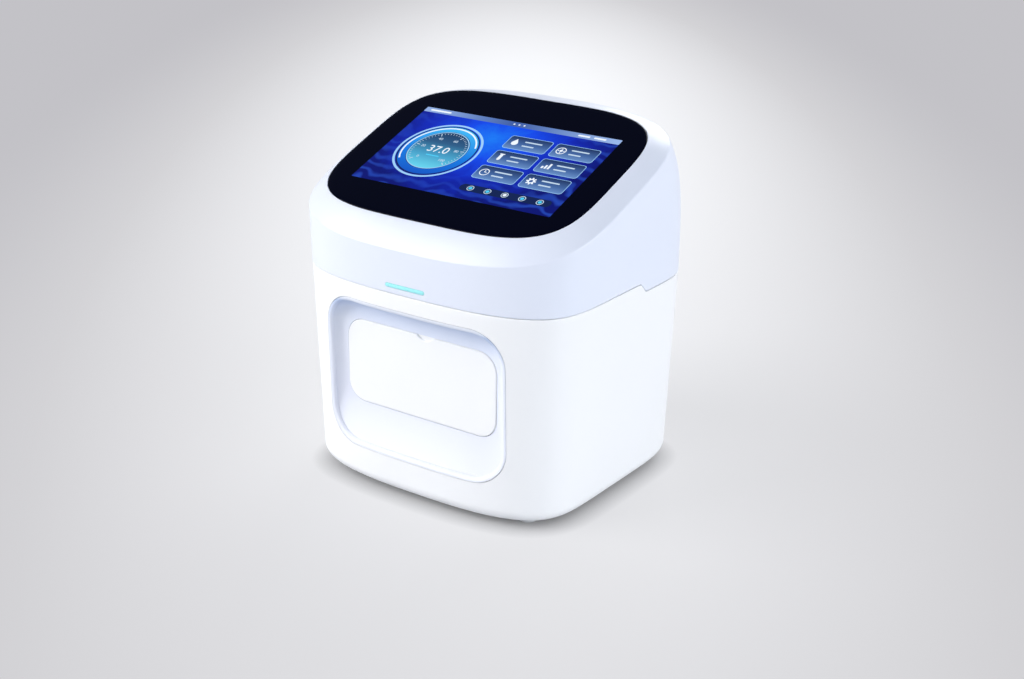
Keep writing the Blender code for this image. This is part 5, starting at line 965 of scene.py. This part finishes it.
def surface(node, start, heading):
    """Point and outward direction where a ray first meets a solid."""
    if node not in TREES:
        mesh = NODES[node].data
        TREES[node] = BVHTree.FromPolygons([v.co for v in mesh.vertices],
                                           [list(face.vertices) for face in mesh.polygons])
    place, normal, _, _ = TREES[node].ray_cast(Vector(start), Vector(heading))
    return place, normal if normal.dot(Vector(heading)) < 0 else -normal


def board_level(node, x, y):
    """Height of a solid's upper face at a place."""
    return surface(node, (x, y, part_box(node)[1][2] + 0.01), (0, 0, -1))[0].z


def facing(place, normal=(0, 0, 1), twist=0.0):
    """Pose that sets a piece's Z along a direction at a place, turned about it."""
    turn = Vector(normal).to_track_quat("Z", "Y").to_matrix().to_4x4()
    return Matrix.Translation(place) @ turn @ Matrix.Rotation(twist, 4, "Z")


def screw_head(pose, radius, height, material):
    """Pan head with a cross recess.

    Height over the shares r of the radius is sqrt(1 - r^6); two crossed arms are sunk into it,
    and fade out at r = 0.6.
    """
    share = np.concatenate((np.linspace(0.06, 0.66, 14), np.linspace(0.74, 1.0, 7)))[:, None]
    turn = math.tau * np.arange(48)[None, :] / 48
    x, y = share * np.cos(turn), share * np.sin(turn)
    dome = np.sqrt(np.clip(1 - share ** 6, 0, 1))
    arm = np.clip((0.17 - np.minimum(np.abs(x), np.abs(y))) / 0.06, 0, 1)
    arm = arm * np.clip((0.60 - share) / 0.10, 0, 1)
    rings = np.stack((radius * x, radius * y, height * (dome - 0.6 * arm)), axis=-1)
    foot = rings[-1:] - (0, 0, FIT)
    return skin("screw", np.concatenate((rings, foot)), material, "pole", pose)


def screws(name, body, node, spots, rays, radius, height, material=STEEL):
    """Screws of one size where rays from the spots meet a solid; each is turned a little on.

    The rays are given by their axis, their start on it, and 1 or -1 for their way along it.
    """
    axis, start, way = rays
    poses = [facing(*surface(node, np.insert(spot, axis, start), np.eye(3)[axis] * way),
                    twist=SCREW_TWIST * number) for number, spot in enumerate(spots)]
    grouped(name, [screw_head(pose, radius, height, material) for pose in poses], body)


def corners(x, y, half_x, half_y):
    """Four places about a middle."""
    return [(x + sx * half_x, y + sy * half_y) for sx in (-1, 1) for sy in (-1, 1)]


def mirrored(*spots):
    """Places on the left, and then the same ones on the right."""
    return [(side * x, y) for side in (-1.0, 1.0) for x, y in spots]


def lozenge(middle, half, corner, material, draft=0.0, pose=None):
    """Small moulded block: rounded outline, straight sides with draft, eased upper edge."""
    ease = min(half[2] * 0.3, 0.0003)
    rings = [lift(round_rectangle(np.subtract(half[:2], inset), corner, 3, 1), level) + middle
             for inset, level in ((0.0, -half[2]), (draft, half[2] - ease),
                                  (draft + ease * 0.35, half[2] - ease * 0.3),
                                  (draft + ease, half[2]))]
    return skin("block", rings, material, pose=pose)


def lead(path, width, thickness, material, pose):
    """Flat lead of a width along X, carried along a path of (y, z) points.

    At each point the section lies square to the direction from its last to its next point.
    """
    path = np.asarray(path, dtype=float)
    along = unit(np.gradient(path, axis=0))
    out = np.stack((-along[:, 1], along[:, 0]), axis=1) * thickness / 2
    rings = [[(side * width / 2, *(point + sign * half)) for side, sign in
              ((-1, -1), (1, -1), (1, 1), (-1, 1))] for point, half in zip(path, out)]
    return skin("lead", rings, material, pose=pose)


def chip(place, half, legs, turn=0.0):
    """Circuit package: drafted resin body between two rows of bent legs."""
    pose, pitch, height = facing(place, twist=turn), 0.00127, 0.0015
    parts = [lozenge((0, 0, height / 2 + 0.0001), (*half, height / 2), 0.0002, RESIN, 0.00012,
                     pose)]
    path = np.array(((-0.0002, 0.0008), (0.0004, 0.0008), (0.0007, 0.0001), (0.0013, 0.0001)))
    for side in (0, math.pi):
        for x in spread(legs, pitch):
            flip = pose @ Matrix.Rotation(side, 4, "Z") @ Matrix.Translation((x, 0, 0))
            parts.append(lead(path + (half[1], 0), 0.00042, 0.00018, TIN, flip))
    return parts


def chip_part(x, y, level, turn=0.0, material=CERAMIC):
    """Two-ended chip component with tinned caps."""
    pose = facing((x, y, level), twist=turn)
    return [lozenge((0, 0, 0.0004), (0.0008, 0.00045, 0.0004), 0.0001, material, pose=pose)] + [
        lozenge((end, 0, 0.0004), (0.0002, 0.0005, 0.00045), 0.0001, TIN, pose=pose)
        for end in (-0.0008, 0.0008)]


def turned_part(place, profile, material, count=36):
    """Profile of radius and height turned about an upright axis."""
    rings = [lift(ring_of(radius, count), height) + place for radius, height in profile]
    return skin("turned", rings, material, ends="pole")


def can(place, radius, height):
    """Electrolytic capacitor: rolled groove near the foot, eased top with a sunken face."""
    return turned_part(place, (
        (radius, 0), (radius, height * 0.12), (radius * 0.93, height * 0.17),
        (radius, height * 0.22), (radius, height - radius * 0.15), (radius * 0.93, height),
        (radius * 0.80, height), (radius * 0.76, height * 0.985)), ALLOY)


def plug_shell(place, pins, pitch=0.0020):
    """White board connector with an open top and its pins."""
    pose = facing(place)
    half = np.array(((pins + 1) * pitch / 2, 0.0026))
    height, wall = 0.0058, 0.0006
    rings = [lift(round_rectangle(half - inset, 0.0003, 2, 1), level)
             for inset, level in ((0, 0), (0, height), (wall, height), (wall, wall))]
    return [skin("plug", rings, NATURAL, pose=pose)] + [
        lozenge((x, 0, 0.0025), (0.0003, 0.0003, 0.0021), 0.0001, TIN, pose=pose)
        for x in spread(pins, pitch)]


def tube(route, radius, material, sides=10):
    """Round wire: a circle carried square to a smooth curve through the route's points.

    The curve is a chain of Catmull-Rom pieces, and the circle's first direction is carried on
    from point to point without twist.
    """
    route = np.asarray(route, dtype=float)
    ends = np.concatenate((2 * route[:1] - route[1:2], route, 2 * route[-1:] - route[-2:-1]))
    share = np.linspace(0, 1, 9)[:-1, None]
    pieces = [0.5 * (2 * b + (c - a) * share + (2 * a - 5 * b + 4 * c - d) * share ** 2
                     + (3 * b - a - 3 * c + d) * share ** 3)
              for a, b, c, d in zip(ends, ends[1:], ends[2:], ends[3:])]
    line = np.concatenate(pieces + [route[-1:]])
    along = unit(np.gradient(line, axis=0))
    side = np.cross(along[0], (0.3, 0.2, 1.0))
    turn = math.tau * np.arange(sides)[:, None] / sides
    rings = []
    for point, way in zip(line, along):
        side = side - way * side.dot(way)
        side = side / np.linalg.norm(side)
        rings.append(point + radius * (side * np.cos(turn) + np.cross(way, side) * np.sin(turn)))
    return skin("wire", rings, material)


# Rear fittings: contacts in the sockets, marks on the rocker, the light pipe

PIN_HALF = np.array((0.00115, 0.00265))
CONTACT_GAP = 0.00015


def rear_middle(node):
    """Middle of a rear fitting in X and Z, with the Y of its outer face."""
    low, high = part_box(node)
    return (low[0] + high[0]) / 2, (low[2] + high[2]) / 2, high[1]


def inlet_pins():
    """Three plated blades over the solid's own, each narrowed at its tip."""
    x, z, face = rear_middle("mains_inlet")
    blades = []
    for across, up in ((-0.007, -0.002), (0.0, 0.002), (0.007, -0.002)):
        rings = [upright(round_rectangle(PIN_HALF - inset, 0.0005, 5, 1) + (x + across, 0),
                         face - depth, z + up) for inset, depth in
                 ((0, 0.0148), (0, 0.0042), (0.00012, 0.0036), (0.0005, 0.0032))]
        blades.append(skin("blade", rings, TIN))
    grouped("inlet_pins", blades, "base")


def socket_inside(node, contacts, pitch, width, tongue_half, droop):
    """Black tongue over the solid's own, a black plate behind, and gold contacts under the tongue.

    Each contact sinks by the droop from the tongue's tip to the back.
    """
    x, z, face = rear_middle(node)
    low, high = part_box(node)
    back, margin, tongue_top, under = face - 0.0114, 0.0008, 0.0020, z - 0.00028
    turn = Matrix.Translation((x, back, z)) @ Matrix.Rotation(-math.pi / 2, 4, "X")
    parts = [lozenge((0, 0, 0), ((high[0] - low[0]) / 2 - margin, (high[2] - low[2]) / 2 - margin,
                                 0.0005), 0.0004, BLACK, pose=turn),
             lozenge((0, -tongue_top / 2, 0.0055),
                     (tongue_half, tongue_top / 2 + CONTACT_GAP, 0.0054), 0.0002, BLACK, pose=turn)]
    path = ((back, under - droop), (face - 0.0042, under - droop * 0.5), (face - 0.0020, under),
            (face - 0.0013, z))
    parts += [lead(path, width, 0.00022, COPPER, Matrix.Translation((x + shift, 0, 0)))
              for shift in spread(contacts, pitch)]
    grouped(node + "_inside", parts, "base")


def rocker_marks():
    """I and O on the two halves of the rocker, each flat on its own half."""
    x, z, face = rear_middle("power_switch")
    across = Vector((-1, 0, 0))
    marks = []
    for text, up in (("I", 0.0059), ("O", -0.0059)):
        place, normal = surface("power_switch", (x, face + 0.02, z + up), (0, -1, 0))
        turn = Matrix((across, normal.cross(across), normal)).transposed().to_4x4()
        marks.append(writing("mark", text, 0.0034, (0, 0), -0.0001, 0.0001, MARKING,
                             Matrix.Translation(place) @ turn))
    grouped("rocker_marks", marks, "power_switch")


def light_pipe():
    """Status light: a stadium outline carried out to the lid's bowed face, its edge eased.

    The face lies on a parabola through the solid's face at the middle and at one end.
    """
    edge = LIGHT_HALF[0] * 0.8
    middle, end = (surface("status_light", (x, -0.12, LIGHT_HEIGHT), (0, 1, 0))[0].y
                   for x in (0.0, edge))
    rings = []
    for inset, depth in ((0, 0.0036), (0, 0.0003), (0.0001, 0.0001), (0.0003, 0.0)):
        flat = round_rectangle(LIGHT_HALF - inset, LIGHT_HALF[1] - inset, 10, 12)
        face = middle + (end - middle) * (flat[:, 0] / edge) ** 2
        rings.append(upright(flat, face + depth, LIGHT_HEIGHT))
    piece = skin("light_pipe", rings, CYAN)
    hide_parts("status_light")
    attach(piece, "lid")


# Deck: a soft apron closes the gap between its edge and the housing

DECK_TOP = SEAM - 0.0108
APRON_RISE = 0.0066
APRON_THICKNESS = 0.0011
APRON_LAP = 0.0026
APRON_AHEAD = 0.0098
NOTCH_BOX = (-0.0460, 0.06, 0.0920, 0.06)


def deck_apron(material):
    """Rubber apron from the deck's edge up over the recess moulding to the wall's inside.

    The deck's edge leaves the wall ahead, by the share by which y passes half the depth; the
    apron's outer edge rises by the same share, eased at both ends.
    """
    near = wall_section(DECK_TOP, WALL + FIT)
    ahead = (np.clip(-0.5 - near[:, 1] / HALF_DEPTH, 0, 0.3) / 0.3)[:, None]
    edge = near + (wall_section(DECK_TOP, APRON_AHEAD) - near) * ahead
    rise = APRON_THICKNESS + (APRON_RISE - APRON_THICKNESS) * ahead * ahead * (3 - 2 * ahead)
    inward = unit(edge * (1, 1, 0))
    thin = np.array((0.0, 0.0, APRON_THICKNESS))
    wall = wall_section(DECK_TOP + rise[:, 0], WALL + FIT)
    rings = [edge - inward * APRON_LAP, edge - inward * APRON_LAP + thin * 0.7,
             edge - inward * (APRON_LAP - APRON_THICKNESS / 2) + thin,
             edge - inward * APRON_THICKNESS + thin]
    top = edge + rise * ahead * (0, 0, 1) + (thin - inward * APRON_THICKNESS) * (1 - ahead)
    rings += [rings[-1] + (top - rings[-1]) * share + thin * 0.4 * math.sin(math.pi * share) * ahead
              for share in (0.35, 0.7)]
    rings += [top, wall, wall - thin, edge - inward * 0.0001 - thin * 0.1]
    block = [lift(box(*NOTCH_BOX), level) for level in (0.10, 0.15)]
    return take_out(skin("deck_apron", rings, material, ends="loop"),
                    skin("cutter", block, material))


# Boards: packages, chip parts, cans, connectors and their wires

SENSOR = (0.0, 0.0193)
LEAD_ROUTE = ((1.0, 0.0305, 0.0012), (1.0, 0.0308, 0.0070), (0.9, 0.0350, 0.0095),
              (0.8, 0.0420, 0.0060), (0.75, 0.0445, -0.0020), (0.75, 0.0450, -0.0120),
              (0.8, 0.0480, -0.0172), (1.0, 0.0560, -0.0182))


def detector_parts():
    """Sensor can, two amplifiers, chip parts, a connector and its lead down behind the optics."""
    level = board_level("detector_board", 0.012, 0.0300)
    height = board_level("detector_board", *SENSOR) - level
    parts = [turned_part((*SENSOR, level), (
        (0.0062, 0), (0.0062, 0.0003), (0.0053, 0.0004), (0.0051, 0.0007), (0.0051, height),
        (0.0048, height + 0.0004), (0.0028, height + 0.0005), (0.0026, height + 0.0003)), TIN)]
    for x in (-0.0115, 0.0115):
        parts += chip((x, 0.0105, level), (0.0025, 0.0019), 4)
    for number in range(5):
        kinds = (CERAMIC, RESIN) if number % 2 == 0 else (RESIN, CERAMIC)
        y = 0.0150 + 0.0030 * number
        parts += chip_part(-0.0080 + 0.0040 * number, 0.0062, level)
        parts += chip_part(0.0150, y, level, math.pi / 2, kinds[0])
        parts += chip_part(-0.0150, y, level, math.pi / 2, kinds[1])
    grouped("detector_parts", parts + plug_shell((0.0, 0.0305, level), 4), "base")
    leads = [tube([(x * share, y, level + rise) for share, y, rise in LEAD_ROUTE], 0.00055,
                  WIRES[label])
             for x, label in zip(spread(4, 0.0020), ("red", "black", "white", "blue"))]
    grouped("detector_lead", leads, "base")


def control_parts():
    """Processor, memories, regulators, cans, chip parts and connectors of the main board."""
    level = board_level("main_board", 0.0, 0.0)
    parts = chip((0.0120, -0.0420, level), (0.0072, 0.0062), 11)
    parts += chip((0.0120, -0.0220, level), (0.0050, 0.0032), 8)
    for y in (-0.0560, -0.0080):
        parts += chip((-0.0060, y, level), (0.0032, 0.0020), 5, math.pi / 2)
    parts += [can((-0.0480, -0.0560 + 0.0110 * number, level), 0.0032, 0.0085)
              for number in range(4)]
    for number in range(8):
        kinds = (CERAMIC, RESIN) if number % 3 == 0 else (RESIN, CERAMIC)
        for y, kind in zip((-0.0310, -0.0540), kinds):
            parts += chip_part(0.0030 + 0.0026 * number, y, level, math.pi / 2, kind)
    for number, pins in enumerate((6, 4, 5)):
        parts += plug_shell((-0.0400 + 0.0200 * number, -0.0005, level), pins)
    grouped("control_parts", parts, "base")


light_pipe()
inlet_pins()
for side in ("left", "right"):
    socket_inside("usb_port_" + side, 4, 0.0019, 0.0010, 0.0040, 0.0004)
socket_inside("network_port", 8, 0.00102, 0.0005, 0.0045, 0.0036)
rocker_marks()

FROM_BEHIND = (1, 0.12, -1)
FROM_BELOW = (2, -0.02, 1)
FROM_INSIDE = (2, 0.12, 1)
ONTO_DECK = (2, 0.15, -1)
ONTO_OPTICS = (2, 0.16, -1)
ONTO_BOARDS = (2, 0.10, -1)
REAR_SPOTS = ((-0.0500, 0.0905), (0.0010, 0.0905), (0.0500, 0.0905), (-0.0500, 0.0610),
              (0.0040, 0.0295), (0.0500, 0.0295))
HINGE_SPOTS = mirrored((0.0379, 0.0722), (0.0379, 0.0782))
for row in (
        ("rear_panel_screws", "base", "rear_panel", REAR_SPOTS, FROM_BEHIND, 0.0027, 0.0014),
        ("fan_screws", "base", "rear_panel", corners(0.0262, REAR_MIDDLE, 0.0200, 0.0200),
         FROM_BEHIND, 0.0024, 0.0012, OXIDE),
        ("underside_screws", "base", "lower_housing", corners(0.0, 0.0, 0.0450, 0.0725),
         FROM_BELOW, 0.0034, 0.0015),
        ("deck_screws", "base", "inner_deck",
         mirrored((0.0800, -0.0640), (0.0900, 0.0050), (0.0800, 0.0700)),
         ONTO_DECK, 0.0028, 0.0014),
        ("liner_screws", "lid", "lid_liner",
         mirrored((0.0800, -0.0660), (0.0900, 0.0000), (0.0800, 0.0640)),
         FROM_INSIDE, 0.0026, 0.0013),
        ("hinge_screws", "lid", "lid_hinge_left", HINGE_SPOTS[:2], FROM_INSIDE, 0.0018, 0.0009),
        ("hinge_screws_right", "lid", "lid_hinge_right", HINGE_SPOTS[2:], FROM_INSIDE, 0.0018,
         0.0009)):
    screws(*row)
apron = deck_apron(SEAL)
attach(apron, "base")
detector_parts()
control_parts()
for row in (
        ("detector_screws", "base", "detector_board", corners(*SENSOR, 0.0145, 0.0128),
         ONTO_OPTICS, 0.0016, 0.0008),
        ("control_screws", "base", "main_board", corners(0.0, -0.0300, 0.0530, 0.0315),
         ONTO_BOARDS, 0.0022, 0.0010),
        ("supply_screws", "base", "power_supply", corners(-0.0300, 0.0340, 0.0210, 0.0240),
         ONTO_BOARDS, 0.0018, 0.0009)):
    screws(*row)


# Floor, light and camera

# The floor's tone is a painted pool of light, from FLOOR_POOL_MIDDLE near the ellipse's centre to
# FLOOR_EDGE far off.
FLOOR_CENTRE = (-0.457, 0.667)
FLOOR_TURN = math.radians(35.2)
FLOOR_REACH = (0.618, 2.16, 1.0)
FLOOR_POOL_MIDDLE = (0.92, 0.92, 0.925)
FLOOR_EDGE = (0.545, 0.54, 0.570)
FLOOR_BOUNCE = (0.57, 0.58, 0.60)
FLOOR_SHADE_SHARE = 0.50
FLOOR_NEAR = (0.25, 0.65)
FLOOR_LIFT = 0.75
FLOOR_HALF = 9.0
SHADE_DISTANCE = 0.014
SHADE_SOFTNESS = 0.7
SKY_LEVEL = ((0.04, FLOOR_EDGE), (0.35, (0.30, 0.33, 0.38)), (0.7, (0.11, 0.13, 0.17)))
LAMPS = (("key", (-1.50, -1.45, 1.45), 1.7, 54.0, (1.0, 1.0, 1.0)),
         ("front", (-0.35, -2.38, 0.42), 1.2, 12.5, (1.0, 1.0, 1.0)),
         ("right", (2.3, 0.20, 0.16), 1.2, 54.0, (0.94, 0.97, 1.0)),
         ("rear", (-0.5, 2.5, 1.5), 1.8, 46.0, (0.97, 0.985, 1.0)))
LAMP_AIM = (0.0, 0.0, 0.12)
CAMERA_PLACE = (0.58059, -0.80504, 0.46309)
CAMERA_ANGLES = (35.19, 20.88, 0.71)
CAMERA_LENS = 55.90


def background_rays(net):
    """One for camera, glossy and transmission rays, so metal and glass show the background too."""
    path = net.tree.nodes.new("ShaderNodeLightPath").outputs
    total = path["Is Camera Ray"]
    for kind in ("Is Glossy Ray", "Is Transmission Ray"):
        total = net.math("ADD", total, path[kind], use_clamp=True)
    return total


def floor_material():
    """Matt pale floor with a painted pool of light: its tone falls off in a wide ellipse round the
    object.

    Camera, glossy and transmission rays meet part of that tone as a glow, all of it far off, so
    the far floor keeps its level, and the rest as lit paint, so the object's shadow stays. The
    glow is also dimmed by occlusion, close under the object. Other rays meet even paint.
    """
    material = bpy.data.materials.new("studio_floor")
    net = Net(material)
    reach = net.radius(net.add("TexCoord", out="Object"), FLOOR_CENTRE, FLOOR_REACH, FLOOR_TURN)
    # Painted pool of light: the tone falls from pale to grey across the ellipse.
    tone = net.ramp(reach, ((0.02, FLOOR_POOL_MIDDLE), (1.0, FLOOR_EDGE)), "EASE")
    seen = background_rays(net)
    near = net.span(reach, *FLOOR_NEAR, 1 - FLOOR_SHADE_SHARE, 1.0)
    glow_part = net.math("MULTIPLY", seen, near)
    paint = net.mix(glow_part, net.mix(seen, FLOOR_BOUNCE, tone), (0, 0, 0))
    occlusion = net.add("AmbientOcclusion", out="AO", Distance=SHADE_DISTANCE)
    glow = net.math("MULTIPLY", net.math("POWER", glow_part, FLOOR_LIFT),
                    net.math("POWER", occlusion, SHADE_SOFTNESS))
    net.put(net.root, Roughness=0.55, Specular_IOR_Level=0.0, Base_Color=paint,
            Emission_Color=tone, Emission_Strength=glow)
    return material


def floor():
    """Wide floor sheet under the feet."""
    line = np.linspace(-FLOOR_HALF, FLOOR_HALF, 3)
    points = lift(np.stack(np.meshgrid(line, line), axis=-1).reshape(-1, 2), 0.0)
    faces = [(r * 3 + c, r * 3 + c + 1, (r + 1) * 3 + c + 1, (r + 1) * 3 + c)
             for r in range(2) for c in range(2)]
    return shown("floor", shaded(mesh_of("floor", points.tolist(), faces)), floor_material())


def area_light(name, place, size, power, colour):
    """Square soft light at a place, turned to the object."""
    light = bpy.data.lights.new(name, "AREA")
    light.size = size
    light.energy = power
    light.color = colour
    lamp = bpy.data.objects.new(name, light)
    lamp.location = place
    lamp.rotation_euler = (Vector(LAMP_AIM) - Vector(place)).to_track_quat("-Z", "Y").to_euler()
    bpy.context.scene.collection.objects.link(lamp)


def camera():
    """Camera at the photograph's place, from its azimuth, elevation and roll."""
    azimuth, elevation, roll = (math.radians(angle) for angle in CAMERA_ANGLES)
    lens = bpy.data.cameras.new("photo_camera")
    lens.lens = CAMERA_LENS
    lens.sensor_width = 36.0
    lens.clip_end = 60.0
    eye = bpy.data.objects.new("photo_camera", lens)
    eye.matrix_world = (Matrix.Translation(CAMERA_PLACE) @ Matrix.Rotation(azimuth, 4, "Z")
                        @ Matrix.Rotation(math.pi / 2 - elevation, 4, "X")
                        @ Matrix.Rotation(roll, 4, "Z"))
    bpy.context.scene.collection.objects.link(eye)
    bpy.context.scene.camera = eye


def studio():
    """World light that fades from the horizon to overhead, and four large soft lamps."""
    world = bpy.data.worlds.new("studio")
    net = Net(world, "Background")
    height = net.add("SeparateXYZ", net.add("TexCoord", out="Generated"), out="Z")
    net.put(net.root, Color=net.ramp(height, SKY_LEVEL))
    bpy.context.scene.world = world
    for lamp in LAMPS:
        area_light(*lamp)
    bpy.context.scene.view_settings.view_transform = "Standard"


floor()
camera()
studio()
